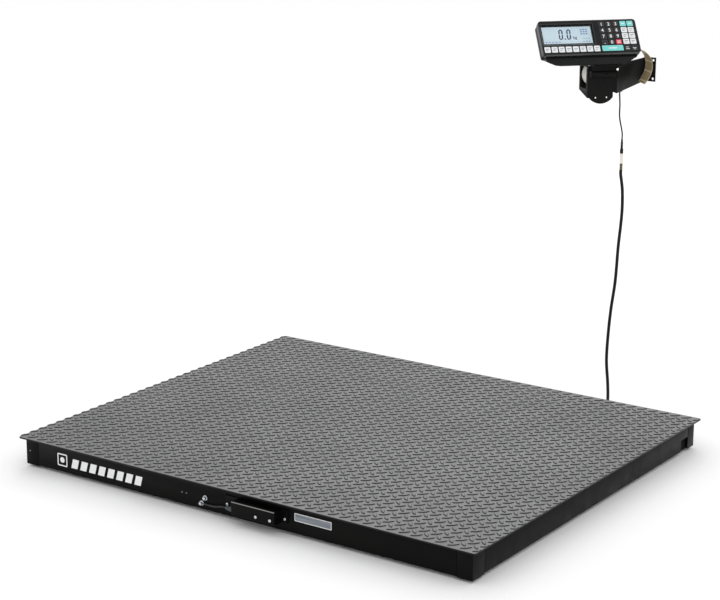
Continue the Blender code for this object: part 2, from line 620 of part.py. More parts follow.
def build_front_fittings(mats):
    face = -SKIRT_Y - GAP
    out = Matrix.Rotation(radians(90), 4, "X")
    for name, (x, height) in zip(("earth_bolt_upper", "earth_bolt_lower"), EARTH_BOLTS):
        place = PLATFORM @ Matrix.Translation((x, face, height)) @ out
        washer = EARTH_WASHER_RADIUS
        turned(name, [(0, EARTH_BOLT_LENGTH), (EARTH_BOLT_RADIUS * 0.7, EARTH_BOLT_LENGTH),
                      (EARTH_BOLT_RADIUS, EARTH_BOLT_LENGTH * 0.85), (EARTH_BOLT_RADIUS, 0.0015),
                      (washer, 0.0015), (washer, 0), (0, 0)], mats["steel"], place, sides=20)
    axis_y = -SKIRT_Y - GLAND_STANDOFF
    gland_place = PLATFORM @ columns((0, 1, 0), (0, 0, -1), (-1, 0, 0),
                                     (GUARD_LEFT - GAP, axis_y, GLAND_HEIGHT))
    turned("lead_gland", [(0, GLAND_LENGTH), (GLAND_RADIUS * 0.55, GLAND_LENGTH),
                          (GLAND_RADIUS, GLAND_LENGTH * 0.7), (GLAND_RADIUS, 0), (0, 0)],
           mats["grey"], gland_place, sides=24)
    lower_x, lower_z = EARTH_BOLTS[1]
    start_x = lower_x + EARTH_WASHER_RADIUS + GAP
    start_y = face - EARTH_LEAD_RADIUS - GAP
    end_x = GUARD_LEFT - GAP - GLAND_LENGTH - GAP
    tube("earth_lead", [(start_x, start_y, lower_z), (start_x + 0.004, start_y, lower_z),
                        (start_x + 0.014, start_y - 0.002, lower_z + 0.0005),
                        ((start_x + end_x) / 2, (start_y + axis_y) / 2,
                         (lower_z + GLAND_HEIGHT) / 2 - 0.0022),
                        (end_x - 0.014, axis_y + 0.002, GLAND_HEIGHT - 0.0020),
                        (end_x - 0.004, axis_y, GLAND_HEIGHT),
                        (end_x, axis_y, GLAND_HEIGHT)],
         EARTH_LEAD_RADIUS, mats["lead"], PLATFORM)
    box("rating_plate", (PLATE_LEFT, face - PLATE_SHEET, PLATE_BOTTOM),
        (PLATE_LEFT + PLATE_LENGTH, face, PLATE_BOTTOM + PLATE_HEIGHT), mats["plate"], PLATFORM)


def build_home_run(mats):
    """The cable from the rear gland, under the deck, to the junction box, and its clips."""
    rear = SKIRT_Y + GAP
    out = PLATFORM @ columns((1, 0, 0), (0, 0, -1), (0, 1, 0), (REAR_GLAND_X, rear, REAR_GLAND_HEIGHT))
    turned("rear_gland", [(0, REAR_GLAND_LENGTH), (CABLE_RADIUS * 1.5, REAR_GLAND_LENGTH),
                          (REAR_GLAND_RADIUS * 0.85, REAR_GLAND_LENGTH * 0.7),
                          (REAR_GLAND_RADIUS, REAR_GLAND_LENGTH * 0.3), (REAR_GLAND_RADIUS, 0), (0, 0)],
           mats["grey"], out, sides=24)
    start = SKIRT_Y - CHANNEL_SHEET - GAP
    box_side = BOX_LEFT + BOX_LENGTH + GAP
    box_y = -SKIRT_Y + CHANNEL_SHEET + BOX_DEPTH * 0.7
    level = REAR_GLAND_HEIGHT
    under = SKIRT_TOP - BEAM_HEIGHT - 2 * CABLE_RADIUS
    inlet = BOX_BOTTOM + BOX_HEIGHT * 0.4
    beam_edge = BEAM_OFFSET + BEAM_WIDTH / 2
    lane = max(REAR_GLAND_X, beam_edge + 4 * CABLE_RADIUS)
    tube("home_run_cable", [(REAR_GLAND_X, start, level), (REAR_GLAND_X, start - 0.03, level),
                            (lane, start - 0.12, level), (lane, (start + box_y) / 2, level),
                            (lane, box_y + 0.227, level), (lane, box_y + 0.147, level - 0.010),
                            (lane - 0.010, box_y + 0.087, under + 0.004), (beam_edge, box_y + 0.052, under),
                            (BEAM_OFFSET, box_y + 0.010, under), (beam_edge - BEAM_WIDTH, box_y, under),
                            (box_side + 0.060, box_y, under + 0.004),
                            (box_side + 0.020, box_y, inlet - 0.001),
                            (box_side + 0.006, box_y, inlet), (box_side, box_y, inlet)],
         CABLE_RADIUS, mats["cable"], PLATFORM)


# ---- wall bracket and label roll ---------------------------------------------------------------------
def build_bracket(mats):
    """One folded sheet: wall flange, arm, and the front plate turned at the bend."""
    plane = HEAD @ columns((1, 0, 0), (0, 0, 1), (0, -1, 0), (0, BRACKET_SHEET / 2, 0))
    left = -FRONT_WIDTH
    lobe = arc(LOBE_CENTRE, LOBE_RADIUS, 219, 323, 16)
    outline = [(0, FRONT_TOP), (left, FRONT_TOP), (left, CHEEK_BOTTOM_FRONT), *lobe,
               (STEP_X, CHEEK_BOTTOM_REAR), (0, ARM_BOTTOM_BEND)]
    holes = [circle((x, CHEEK_BOTTOM_FRONT), LOBE_HOLE_RADIUS, 16) for x in LOBE_HOLES]
    bracket = slab("wall_bracket", [outline, *holes], BRACKET_SHEET, plane, mats["frame"])
    bend = HEAD.translation
    wall_side = PLATFORM @ Vector((BEND_X, WALL_Y, HINGE_HEIGHT))
    arm_plane = columns((0, 1, 0), (0, 0, 1), (1, 0, 0), bend - Vector((BRACKET_SHEET / 2, 0, 0)))
    lap = BRACKET_SHEET * 0.4
    arm = [(-lap, ARM_BOTTOM_BEND), (ARM_LENGTH, ARM_BOTTOM_WALL), (ARM_LENGTH, ARM_TOP), (-lap, ARM_TOP)]
    join(bracket, slab("join_arm", [arm], BRACKET_SHEET, arm_plane))
    flange_plane = columns((1, 0, 0), (0, 0, 1), (0, -1, 0), wall_side - Vector((0, BRACKET_SHEET / 2, 0)))
    flange = [(-BRACKET_SHEET, FLANGE_BOTTOM), (FLANGE_WIDTH, FLANGE_BOTTOM),
              (FLANGE_WIDTH, FLANGE_TOP), (-BRACKET_SHEET, FLANGE_TOP)]
    inset = FLANGE_HOLE_INSET
    flange_holes = [circle((FLANGE_WIDTH - inset, height), FLANGE_HOLE_RADIUS, 20)
                    for height in (FLANGE_TOP - inset, FLANGE_BOTTOM + inset)]
    join(bracket, slab("join_flange", [flange, *flange_holes], BRACKET_SHEET, flange_plane))
    relief = rounded_rectangle(RELIEF_LENGTH, RELIEF_HEIGHT, RELIEF_HEIGHT * 0.45, RELIEF_CENTRE)
    cut(bracket, slab("cut_relief", [relief], 4 * BRACKET_SHEET, arm_plane))
    lug_reach = -HINGE_Y + BARREL_RADIUS
    for name, x in (("join_lug_left", BARREL_LEFT - GAP - LUG_WIDTH), ("join_lug_right", BARREL_RIGHT + GAP)):
        join(bracket, box(name, (x, -lug_reach, -BARREL_RADIUS),
                          (x + LUG_WIDTH, BRACKET_SHEET / 2, BARREL_RADIUS), None, HEAD))
    return bracket


def build_hinge_pin(mats):
    cylinder("hinge_pin", PIN_RADIUS, (BARREL_LEFT, HINGE_Y, 0), (BARREL_RIGHT, HINGE_Y, 0),
             mats["steel"], HEAD, sides=24)


def build_roll_housing(mats):
    """A folded sheet behind the front plate: a side cheek with a window, and a back plate."""
    front = HOUSING_FRONT
    cheek = [(front, FRONT_TOP), (HOUSING_DEPTH, FRONT_TOP), (HOUSING_DEPTH, CHEEK_BOTTOM_REAR),
             (front, CHEEK_BOTTOM_FRONT)]
    frame = CHEEK_FRAME
    window = [(front + frame, FRONT_TOP - frame / 2), (HOUSING_DEPTH - frame, FRONT_TOP - frame / 2),
              (HOUSING_DEPTH - frame, CHEEK_BOTTOM_REAR + frame), (front + frame, CHEEK_BOTTOM_REAR + frame)]
    plane = HEAD @ columns((0, 1, 0), (0, 0, 1), (1, 0, 0), (-FRONT_WIDTH + HOUSING_SHEET / 2, 0, 0))
    housing = slab("roll_housing", [cheek, window], HOUSING_SHEET, plane, mats["frame"])
    join(housing, box("join_back", (-FRONT_WIDTH, HOUSING_DEPTH - HOUSING_SHEET, CHEEK_BOTTOM_REAR),
                      (-HOUSING_SHEET, HOUSING_DEPTH, FRONT_TOP), None, HEAD))


def build_label_roll(mats):
    front, back = HOUSING_FRONT, HOUSING_DEPTH - HOUSING_SHEET - GAP
    cylinder("roll_spindle", SPINDLE_RADIUS, (ROLL_X, front, ROLL_HEIGHT), (ROLL_X, back, ROLL_HEIGHT),
             mats["steel"], HEAD, sides=32)
    axis = HEAD @ columns((1, 0, 0), (0, 0, -1), (0, 1, 0), (ROLL_X, ROLL_FRONT, ROLL_HEIGHT))
    bore = SPINDLE_RADIUS + RUN_GAP
    outer = bore + CORE_WALL
    ring("roll_core", bore, outer, ROLL_WIDTH, axis, mats["card"], 48)
    ring("label_roll", outer + GAP, ROLL_RADIUS, ROLL_WIDTH, axis, mats["paper"], 64)


def ring(name, inner, outer, length, place, mat, sides):
    """A tube along the frame's Z from its origin."""
    obj = turned(name, [(inner, length), (outer, length), (outer, 0), (inner, 0), (inner, length)],
                 mat, place, sides)
    return obj


# ---- terminal ---------------------------------------------------------------------------------------
def build_cradle(mats):
    """The moving hinge leaf: a barrel on the pin, a short leaf and a shelf under the terminal."""
    axis = HEAD @ columns((0, 1, 0), (0, 0, 1), (1, 0, 0), (BARREL_LEFT, HINGE_Y, 0))
    shelf_low = LEAF_TOP - LEAF_SHEET
    cradle = box("tilt_cradle", (-FRONT_WIDTH + 2 * LEAF_SHEET, CRADLE_FRONT, shelf_low),
                 (CRADLE_RIGHT, CRADLE_REAR, LEAF_TOP), mats["frame"], HEAD)
    join(cradle, box("join_leaf", (BARREL_LEFT, HINGE_Y - LEAF_SHEET / 2, 0),
                     (BARREL_RIGHT, HINGE_Y + LEAF_SHEET / 2, LEAF_TOP - LEAF_SHEET / 2), None, HEAD))
    length = BARREL_RIGHT - BARREL_LEFT
    join(cradle, cylinder("join_barrel", BARREL_RADIUS, (0, 0, 0), (0, 0, length), None, axis))
    cut(cradle, cylinder("cut_barrel", PIN_RADIUS + RUN_GAP, (0, 0, -length), (0, 0, 2 * length),
                         None, axis, sides=24))
    out = HEAD @ columns((1, 0, 0), (0, 0, 1), (0, -1, 0), (KNOB_X, HINGE_Y - BARREL_RADIUS - GAP, 0))
    turned("hinge_screw", [(0, KNOB_LENGTH), (KNOB_RADIUS * 0.8, KNOB_LENGTH),
                           (KNOB_RADIUS, KNOB_LENGTH * 0.6), (KNOB_RADIUS, 0), (0, 0)],
           mats["steel"], out, sides=20)


def face_slab(name, outline, near, far, mat=None):
    """A slab parallel to the terminal's face, between two depths behind it."""
    place = FACE @ Matrix.Translation((0, 0, -(near + far) / 2))
    return slab(name, outline, far - near, place, mat)


def belly(name, inset):
    """The belly under and behind the face: a front outline and a side outline, both extruded."""
    bottom = BELLY_BOTTOM + inset
    left, right = BELLY_LEFT + inset, BELLY_RIGHT - inset
    front = [(left, BELLY_TOP - inset), (left, bottom + 0.018), (left + 0.004, bottom + 0.011),
             (left + 0.026, bottom + 0.002), (left + 0.040, bottom), (right - 0.036, bottom),
             (right - 0.024, bottom + 0.005), (right - 0.011, bottom + 0.016), (right, bottom + 0.028),
             (right, BELLY_TOP - inset)]
    plane = HEAD @ columns((1, 0, 0), (0, 0, 1), (0, -1, 0), (0, 0, 0))
    shape = slab(name, [front], 0.300, plane)
    rear = BELLY_REAR - inset
    side = [(-0.0470 + inset, 0.0620), (-0.0400 + inset, 0.0450), (-0.0310 + inset, bottom + 0.002),
            (-0.0280 + inset, bottom), (rear - 0.008, bottom), (rear, bottom + 0.008),
            (rear, BELLY_TOP - 0.012), (rear - 0.012, BELLY_TOP - inset), (-0.020, BELLY_TOP - inset)]
    side_plane = HEAD @ columns((0, 1, 0), (0, 0, 1), (1, 0, 0), (0, 0, 0))
    keep_shared(shape, slab("side_" + name, [side], 0.800, side_plane))
    beyond = rear + 0.010
    turned_in = BELLY_TURN_IN * (beyond - BELLY_TURN_Y) / (BELLY_REAR - BELLY_TURN_Y)
    plan = [(right + 0.010, -0.120), (right + 0.010, beyond), (left + turned_in, beyond),
            (left, BELLY_TURN_Y), (left, -0.120)]
    keep_shared(shape, slab("plan_" + name, [plan], 0.300, HEAD))
    ahead = slab("ahead_" + name, [rounded_rectangle(0.600, 0.600, 0.010)], 0.200,
                 FACE @ Matrix.Translation((0, 0, 0.100 - COVER_DEPTH - GAP)))
    cut(shape, ahead)
    bpy.context.view_layer.update()
    return to_mesh(shape)


def build_terminal(mats):
    full = rounded_rectangle(FACE_WIDTH, FACE_HEIGHT, FACE_CORNER)
    inner = rounded_rectangle(FACE_WIDTH - 2 * CASE_WALL, FACE_HEIGHT - 2 * CASE_WALL,
                              FACE_CORNER - CASE_WALL)
    window = rounded_rectangle(WINDOW_WIDTH, WINDOW_HEIGHT, WINDOW_CORNER, WINDOW_CENTRE, 3)
    cover = face_slab("terminal_cover", [full, window], 0, COVER_DEPTH, mats["abs"])
    cut(cover, face_slab("cut_cover", [inner], CASE_WALL, COVER_DEPTH + CASE_WALL))

    smaller = 2 * BACK_INSET
    back = rounded_rectangle(FACE_WIDTH - smaller, FACE_HEIGHT - smaller, FACE_CORNER - BACK_INSET)
    hollow = rounded_rectangle(FACE_WIDTH - smaller - 2 * CASE_WALL, FACE_HEIGHT - smaller - 2 * CASE_WALL,
                               FACE_CORNER - BACK_INSET - CASE_WALL)
    base = face_slab("terminal_base", [back], COVER_DEPTH + GAP, CASE_DEPTH, mats["abs"])
    join(base, belly("belly_outer", 0.0))
    cut(base, face_slab("cut_base", [hollow], 0.0, CASE_DEPTH - CASE_WALL))
    cut(base, belly("belly_inner", CASE_WALL))
    slot_height = strip_route()[0][2]
    cut(base, box("cut_slot", (BELLY_RIGHT - 2 * CASE_WALL, STRIP_FRONT - 0.001, slot_height - STRIP_SLOT),
                  (BELLY_RIGHT + CASE_WALL, STRIP_FRONT + STRIP_WIDTH + 0.001, slot_height + STRIP_SLOT / 2),
                  None, HEAD))
    return base


def build_face_parts(mats):
    pane = rounded_rectangle(WINDOW_WIDTH - 2 * GAP, WINDOW_HEIGHT - 2 * GAP, WINDOW_CORNER, WINDOW_CENTRE, 3)
    face_slab("display_window", [pane], 0.0, WINDOW_SHEET, mats["glass"])
    panel = rounded_rectangle(LCD_WIDTH, LCD_HEIGHT, 0.001, WINDOW_CENTRE, 2)
    near = WINDOW_SHEET + GAP
    face_slab("lcd_module", [panel], near, near + LCD_DEPTH, mats["lcd"])
    film = rounded_rectangle(FILM_WIDTH, FILM_HEIGHT, FILM_CORNER)
    hole = rounded_rectangle(WINDOW_WIDTH, WINDOW_HEIGHT, WINDOW_CORNER, WINDOW_CENTRE, 3)
    face_slab("keypad_film", [film, hole], -GAP - FILM_SHEET, -GAP, mats["film"])
    board = rounded_rectangle(BOARD_WIDTH, BOARD_HEIGHT, 0.002, (0, 0), 2)
    face_slab("main_board", [board], BOARD_DEPTH, BOARD_DEPTH + BOARD_SHEET, mats["board"])


def build_printer(mats):
    """Print mechanism: a block, two end plates and the rubber platen roller between them."""
    front, back = STRIP_FRONT - PRINTER_PLATE, STRIP_FRONT + STRIP_WIDTH + PRINTER_PLATE
    unit = box("printer_unit", (PRINTER_LEFT, front, PRINTER_BOTTOM), (PRINTER_RIGHT, back, PRINTER_TOP),
               mats["grey"], HEAD)
    plate_left = PRINTER_RIGHT - PRINTER_PLATE
    plate_right = PLATEN_X + PLATEN_RADIUS
    plate_low, plate_top = PLATEN_HEIGHT - 2 * PLATEN_SHAFT_RADIUS, PLATEN_HEIGHT + PLATEN_RADIUS
    for name, y in (("join_plate_front", front), ("join_plate_back", back - PRINTER_PLATE)):
        join(unit, box(name, (plate_left, y, plate_low), (plate_right, y + PRINTER_PLATE, plate_top),
                       None, HEAD))
    cut(unit, cylinder("cut_shaft", PLATEN_SHAFT_RADIUS + RUN_GAP, (PLATEN_X, front - 0.01, PLATEN_HEIGHT),
                       (PLATEN_X, back + 0.01, PLATEN_HEIGHT), None, HEAD, sides=20))
    axis = HEAD @ columns((1, 0, 0), (0, 0, -1), (0, 1, 0), (PLATEN_X, front, PLATEN_HEIGHT))
    length = back - front
    end = PRINTER_PLATE + GAP
    turned("platen_roller", [(0, length), (PLATEN_SHAFT_RADIUS, length), (PLATEN_SHAFT_RADIUS, length - end),
                             (PLATEN_RADIUS, length - end), (PLATEN_RADIUS, end),
                             (PLATEN_SHAFT_RADIUS, end), (PLATEN_SHAFT_RADIUS, 0), (0, 0)],
           mats["rubber"], axis, sides=24)


def strip_route():
    """The strip's centre line: over the platen, out of the slot, and down in a curl."""
    over = PLATEN_HEIGHT + PLATEN_RADIUS + GAP + STRIP_SHEET / 2
    y = STRIP_FRONT + STRIP_WIDTH / 2
    curl = [(0.0115, 0.0545), (0.0275, 0.0460), (0.0395, 0.0340), (0.0455, 0.0180), (0.0455, 0.0040),
            (0.0410, -0.0100), (0.0340, -0.0220), (0.0285, -0.0285)]
    return [(PLATEN_X, y, over), (BELLY_RIGHT, y, over - GAP)] + [(BELLY_RIGHT + x, y, z) for x, z in curl]


def build_strip(mats):
    """The printed strip: its centre line given a width and a thickness."""
    line = smooth_route(strip_route(), 0.004)
    upper, lower = [], []
    for before, here, after in zip([line[0], *line], line, [*line[1:], line[-1]]):
        along = (after - before).normalized()
        side = Vector((-along.z, 0, along.x)) * STRIP_SHEET / 2
        upper.append((here.x + side.x, here.z + side.z))
        lower.append((here.x - side.x, here.z - side.z))
    plane = HEAD @ columns((1, 0, 0), (0, 0, 1), (0, -1, 0), (0, STRIP_FRONT + STRIP_WIDTH / 2, 0))
    slab("label_strip", [upper + lower[::-1]], STRIP_WIDTH, plane, mats["liner"])


# ---- leads --------------------------------------------------------------------------------------------
def build_leads(mats):
    clip_top = HINGE_HEIGHT + CLIP_HEIGHT + CLIP_SIZE
    arm_face = BEND_X - BRACKET_SHEET - GAP
    lead_x = BEND_X + CLIP_X
    clip_low = clip_top - 2 * CLIP_SIZE
    box("lead_clip", (lead_x - 0.004, LEAD_Y - 0.004, clip_low), (arm_face, LEAD_Y + 0.004, clip_top),
        mats["grey"], PLATFORM)
    tube("terminal_lead", [(lead_x, LEAD_Y, clip_low - GAP), (lead_x, LEAD_Y, clip_low - 0.008),
                           (lead_x + 0.0015, LEAD_Y, 0.7700), (lead_x + 0.0020, LEAD_Y, 0.7400),
                           (CONNECTOR_X - 0.0020, LEAD_Y, 0.7120),
                           (CONNECTOR_X, LEAD_Y, CONNECTOR_TOP + 0.010),
                           (CONNECTOR_X, LEAD_Y, CONNECTOR_TOP + GAP)], LEAD_RADIUS, mats["lead"], PLATFORM)
    plug = CONNECTOR_TOP - CONNECTOR_MIDDLE
    thin = CONNECTOR_RADIUS * 0.7
    turned("connector_plug", [(0, plug), (LEAD_RADIUS * 1.3, plug), (thin, plug * 0.75), (thin, plug * 0.35),
                              (CONNECTOR_RADIUS, plug * 0.30), (CONNECTOR_RADIUS, 0), (0, 0)],
           mats["brass"], PLATFORM @ Matrix.Translation((CONNECTOR_X, LEAD_Y, CONNECTOR_MIDDLE)), sides=24)
    socket = CONNECTOR_MIDDLE - CONNECTOR_BOTTOM - GAP
    waist = CONNECTOR_RADIUS * 0.85
    turned("connector_socket", [(0, socket), (CONNECTOR_RADIUS, socket), (CONNECTOR_RADIUS, socket * 0.55),
                                (waist, socket * 0.50), (waist, 0), (0, 0)],
           mats["brass"], PLATFORM @ Matrix.Translation((CONNECTOR_X, LEAD_Y, CONNECTOR_BOTTOM)), sides=24)
    gland_end = SKIRT_Y + GAP + REAR_GLAND_LENGTH + GAP
    tube("platform_cable", [(CONNECTOR_X, LEAD_Y, CONNECTOR_BOTTOM - GAP),
                            (CONNECTOR_X, LEAD_Y, CONNECTOR_BOTTOM - 0.012),
                            (0.3466, LEAD_Y, 0.5700), (0.3481, LEAD_Y, 0.5250), (0.3460, LEAD_Y, 0.4850),
                            (0.3415, LEAD_Y, 0.4320), (0.3370, LEAD_Y, 0.3480), (0.3285, LEAD_Y, 0.2780),
                            (0.3235, LEAD_Y, 0.2160), (0.3215, LEAD_Y, 0.1500),
                            (0.3278, LEAD_Y - 0.002, 0.0950),
                            (0.3360, LEAD_Y - 0.014, 0.0600), (REAR_GLAND_X, gland_end + 0.020, 0.0465),
                            (REAR_GLAND_X, gland_end + 0.006, REAR_GLAND_HEIGHT),
                            (REAR_GLAND_X, gland_end, REAR_GLAND_HEIGHT)],
         CABLE_RADIUS, mats["cable"], PLATFORM)


def main():
    clear_scene()
    collection(COLLECTION)
    collection(CUTTERS)
    mats = make_materials()
    build_deck(mats)
    build_channels(mats)
    build_corner_posts(mats)
    build_beams(mats)
    build_cells_and_feet(mats)
    build_junction_box(mats)
    build_guard(mats)
    build_front_fittings(mats)
    build_home_run(mats)
    build_bracket(mats)
    build_hinge_pin(mats)
    build_roll_housing(mats)
    build_label_roll(mats)
    build_cradle(mats)
    build_terminal(mats)
    build_face_parts(mats)
    build_printer(mats)
    build_strip(mats)
    build_leads(mats)


main()
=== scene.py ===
"""Looks of a platform shipping scale: a checker-plate platform and a wall bracket with its terminal.

Every shape is in metres in the object's own frame. Three local frames are used: the platform's (its
middle on the floor), the head's (x to the operator's right, y away from the operator, z up, from the
bracket's bend line at the tilt hinge's height) and the face's (x right, y up the face, z out of it,
from the middle of the keypad film's front).
"""
import json
from math import radians

import bmesh
import bpy
import numpy as np
from mathutils import Matrix, Vector


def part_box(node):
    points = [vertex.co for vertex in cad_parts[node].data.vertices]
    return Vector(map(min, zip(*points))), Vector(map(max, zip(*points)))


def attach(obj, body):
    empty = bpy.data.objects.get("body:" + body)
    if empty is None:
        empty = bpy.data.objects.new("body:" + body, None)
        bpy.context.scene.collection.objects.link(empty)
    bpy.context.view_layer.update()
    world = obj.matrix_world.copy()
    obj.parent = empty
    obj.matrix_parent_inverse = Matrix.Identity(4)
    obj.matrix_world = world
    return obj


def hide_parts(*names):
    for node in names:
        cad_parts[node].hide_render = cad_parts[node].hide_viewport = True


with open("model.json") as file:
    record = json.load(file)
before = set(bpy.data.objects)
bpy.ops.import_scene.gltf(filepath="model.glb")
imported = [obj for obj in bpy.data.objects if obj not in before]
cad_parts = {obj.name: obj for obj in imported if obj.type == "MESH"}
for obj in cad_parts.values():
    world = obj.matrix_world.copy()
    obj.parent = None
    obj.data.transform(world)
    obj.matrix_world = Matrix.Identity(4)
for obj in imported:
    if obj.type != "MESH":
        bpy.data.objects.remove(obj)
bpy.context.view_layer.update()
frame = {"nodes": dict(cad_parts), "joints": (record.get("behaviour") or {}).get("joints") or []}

MM = 0.001


# ---- frames -------------------------------------------------------------------------------------
def node_points(node):
    """The vertices of a CAD node, as rows."""
    mesh = frame["nodes"][node].data
    flat = np.zeros(3 * len(mesh.vertices), np.float32)
    mesh.vertices.foreach_get("co", flat)
    return flat.reshape(-1, 3).astype(float)


def extent(node, origin, axes):
    """Lowest and highest corner of a CAD node measured in a local frame."""
    local = (node_points(node) - origin) @ np.transpose(axes)
    return local.min(0), local.max(0)


def place(points, origin, axes):
    """Local points in the object's frame: origin + x first axis + y second axis + z third axis."""
    return np.asarray(origin) + np.asarray(points, float) @ np.asarray(axes)


PLAIN = np.eye(3)
deck_low, deck_high = (np.array(corner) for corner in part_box("deck_plate"))
PLATFORM = np.array([*((deck_low + deck_high) / 2)[:2], 0.0])
tilt = next(joint for joint in frame["joints"] if joint["name"] == "terminal_tilt")
HEAD_RIGHT = np.array(tilt["axis"], float) / np.linalg.norm(tilt["axis"])
HEAD_BACK = np.cross((0.0, 0.0, 1.0), HEAD_RIGHT)
HEAD_AXES = np.array([HEAD_RIGHT, HEAD_BACK, (0.0, 0.0, 1.0)])
HINGE_FROM_BEND = np.array([-0.0365, -0.0082, 0.0])    # middle of the hinge barrel in the head frame
HEAD = np.array(tilt["pos_m"]) - HINGE_FROM_BEND @ HEAD_AXES
film = node_points("keypad_film")
FACE_OUT = np.linalg.svd(film - film.mean(0))[2][2]
FACE_OUT = FACE_OUT * np.sign(FACE_OUT[2])
FACE_AXES = np.array([HEAD_RIGHT, np.cross(FACE_OUT, HEAD_RIGHT), FACE_OUT])
film_low, film_high = extent("keypad_film", np.zeros(3), FACE_AXES)
FACE = np.array([*((film_low + film_high) / 2)[:2], film_high[2]]) @ FACE_AXES


# ---- shapes -------------------------------------------------------------------------------------
def rounded_outline(width, height, corner, centre=(0.0, 0.0), steps=5):
    """Rounded rectangle: each quarter turn is its corner's centre plus corner radius (cos a, sin a)."""
    quarter = np.linspace(0, np.pi / 2, steps + 1)
    turns = np.concatenate([quarter + k * np.pi / 2 for k in range(4)])
    signs = np.repeat([(1, 1), (-1, 1), (-1, -1), (1, -1)], steps + 1, axis=0)
    middles = signs * (width / 2 - corner, height / 2 - corner) + centre
    return middles + corner * np.stack([np.cos(turns), np.sin(turns)], axis=1)


def at_height(outline, height):
    """A flat outline lifted to a height."""
    return np.column_stack([outline, np.full(len(outline), height)])


def loft(rings, closed=True):
    """Rings of n points, point j of a ring joined to point j of the next; the ends are closed."""
    rings = np.asarray(rings, float)
    index = np.arange(rings.shape[0] * rings.shape[1]).reshape(rings.shape[:2])
    ahead = np.roll(index, -1, axis=1)
    quads = np.stack([index[:-1], ahead[:-1], ahead[1:], index[1:]], axis=-1).reshape(-1, 4).tolist()
    ends = [index[0, ::-1].tolist(), index[-1].tolist()] if closed else []
    return rings.reshape(-1, 3), quads + ends


def ring_solid(rings):
    """A loft whose last ring is joined to its first, as round a hole."""
    rings = np.asarray(rings, float)
    points, quads = loft(rings, closed=False)
    first = np.arange(rings.shape[1])
    last = first + (rings.shape[0] - 1) * rings.shape[1]
    closing = np.stack([last, np.roll(last, -1), np.roll(first, -1), first], axis=1).tolist()
    return points, quads + closing


def turned(profile, sides=32, edges=0, share=0.0):
    """Solid of revolution: ring i is radius_i (cos a, sin a) at height_i.

    A third number in a profile point from 0 to 1 presses that ring towards a polygon of so many
    edges: the radius is divided by cos of the angle from the nearest flat's middle, by that share. With
    a share over 0, such a ring also swells by share times cos of edges times the angle.
    """
    angle = np.linspace(0, 2 * np.pi, sides, endpoint=False)
    rings = []
    for radius, height, *pressed in profile:
        flat = np.zeros_like(angle)
        if pressed and edges:
            step = 2 * np.pi / edges
            flat = pressed[0] * (np.cos((angle + step / 2) % step - step / 2) ** -1 - 1)
        reach = radius * (1 + flat) * (1 + share * np.cos(edges * angle) * bool(pressed and share))
        rings.append(np.stack([reach * np.cos(angle), reach * np.sin(angle),
                               np.full(sides, height)], axis=1))
    return loft(rings)


def pillow(width, height, corner, rise, edge, centre=(0.0, 0.0), base=0.0, steps=3):
    """A key or label: a rounded outline whose rim turns in by edge over its rise, as a quarter ellipse."""
    turn = np.linspace(0, np.pi / 2, steps)
    rings = [at_height(rounded_outline(width, height, corner, centre, steps), base)]
    for inset, lift in zip(edge * (1 - np.cos(turn)), rise * (0.45 + 0.55 * np.sin(turn))):
        shape = rounded_outline(width - 2 * inset, height - 2 * inset, max(corner - inset, edge / 4),
                                centre, steps)
        rings.append(at_height(shape, base + lift))
    return loft(rings)


def together(parts):
    """Several shapes as one: their points in a row and their faces moved on by the points before."""
    points, faces, start = [], [], 0
    for more, polygons in parts:
        points.append(more)
        faces += [[corner + start for corner in polygon] for polygon in polygons]
        start += len(more)
    return np.concatenate(points), faces


def copies(points, faces, offsets):
    """One shape at many offsets, as one set of points and faces."""
    many = (points[None] + offsets[:, None]).reshape(-1, 3)
    moved = []
    for size in sorted({len(face) for face in faces}):
        some = np.array([face for face in faces if len(face) == size])
        shifts = np.arange(len(offsets))[:, None, None] * len(points)
        moved += (some[None] + shifts).reshape(-1, size).tolist()
    return many, moved


def piece(name, shape, material, body, origin=(0, 0, 0), axes=PLAIN, stands_for=(), sharp=35):
    """A named piece of the object: its shape put in place, its faces turned outwards, on its body."""
    points, faces = shape
    mesh = bpy.data.meshes.new(name)
    mesh.from_pydata(place(points, origin, axes).tolist(), [], faces)
    shell = bmesh.new()
    shell.from_mesh(mesh)
    bmesh.ops.recalc_face_normals(shell, faces=shell.faces)
    shell.to_mesh(mesh)
    shell.free()
    mesh.shade_smooth()
    mesh.set_sharp_from_angle(angle=radians(sharp))
    mesh.materials.append(material)
    made = bpy.data.objects.new(name, mesh)
    bpy.context.scene.collection.objects.link(made)
    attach(made, body)
    if stands_for:
        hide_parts(*stands_for)
    return made


def eased(name, node, material, body, width, segments=2, angle=30):
    """A CAD node's shape with its loose triangles merged and its sharp edges rounded to a radius."""
    shell = bmesh.new()
    shell.from_mesh(frame["nodes"][node].data)
    bmesh.ops.remove_doubles(shell, verts=shell.verts, dist=0.00001)
    bmesh.ops.dissolve_limit(shell, angle_limit=radians(1), verts=shell.verts, edges=shell.edges)
    mesh = bpy.data.meshes.new(name)
    shell.to_mesh(mesh)
    shell.free()
    mesh.materials.clear()
    mesh.materials.append(material)
    made = bpy.data.objects.new(name, mesh)
    bpy.context.scene.collection.objects.link(made)
    edge = made.modifiers.new("eased edges", "BEVEL")
    edge.width = width
    edge.segments = segments
    edge.limit_method = "ANGLE"
    edge.angle_limit = radians(angle)
    edge.use_clamp_overlap = True
    edge.harden_normals = True
    mesh.shade_smooth()
    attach(made, body)
    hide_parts(node)
    return made


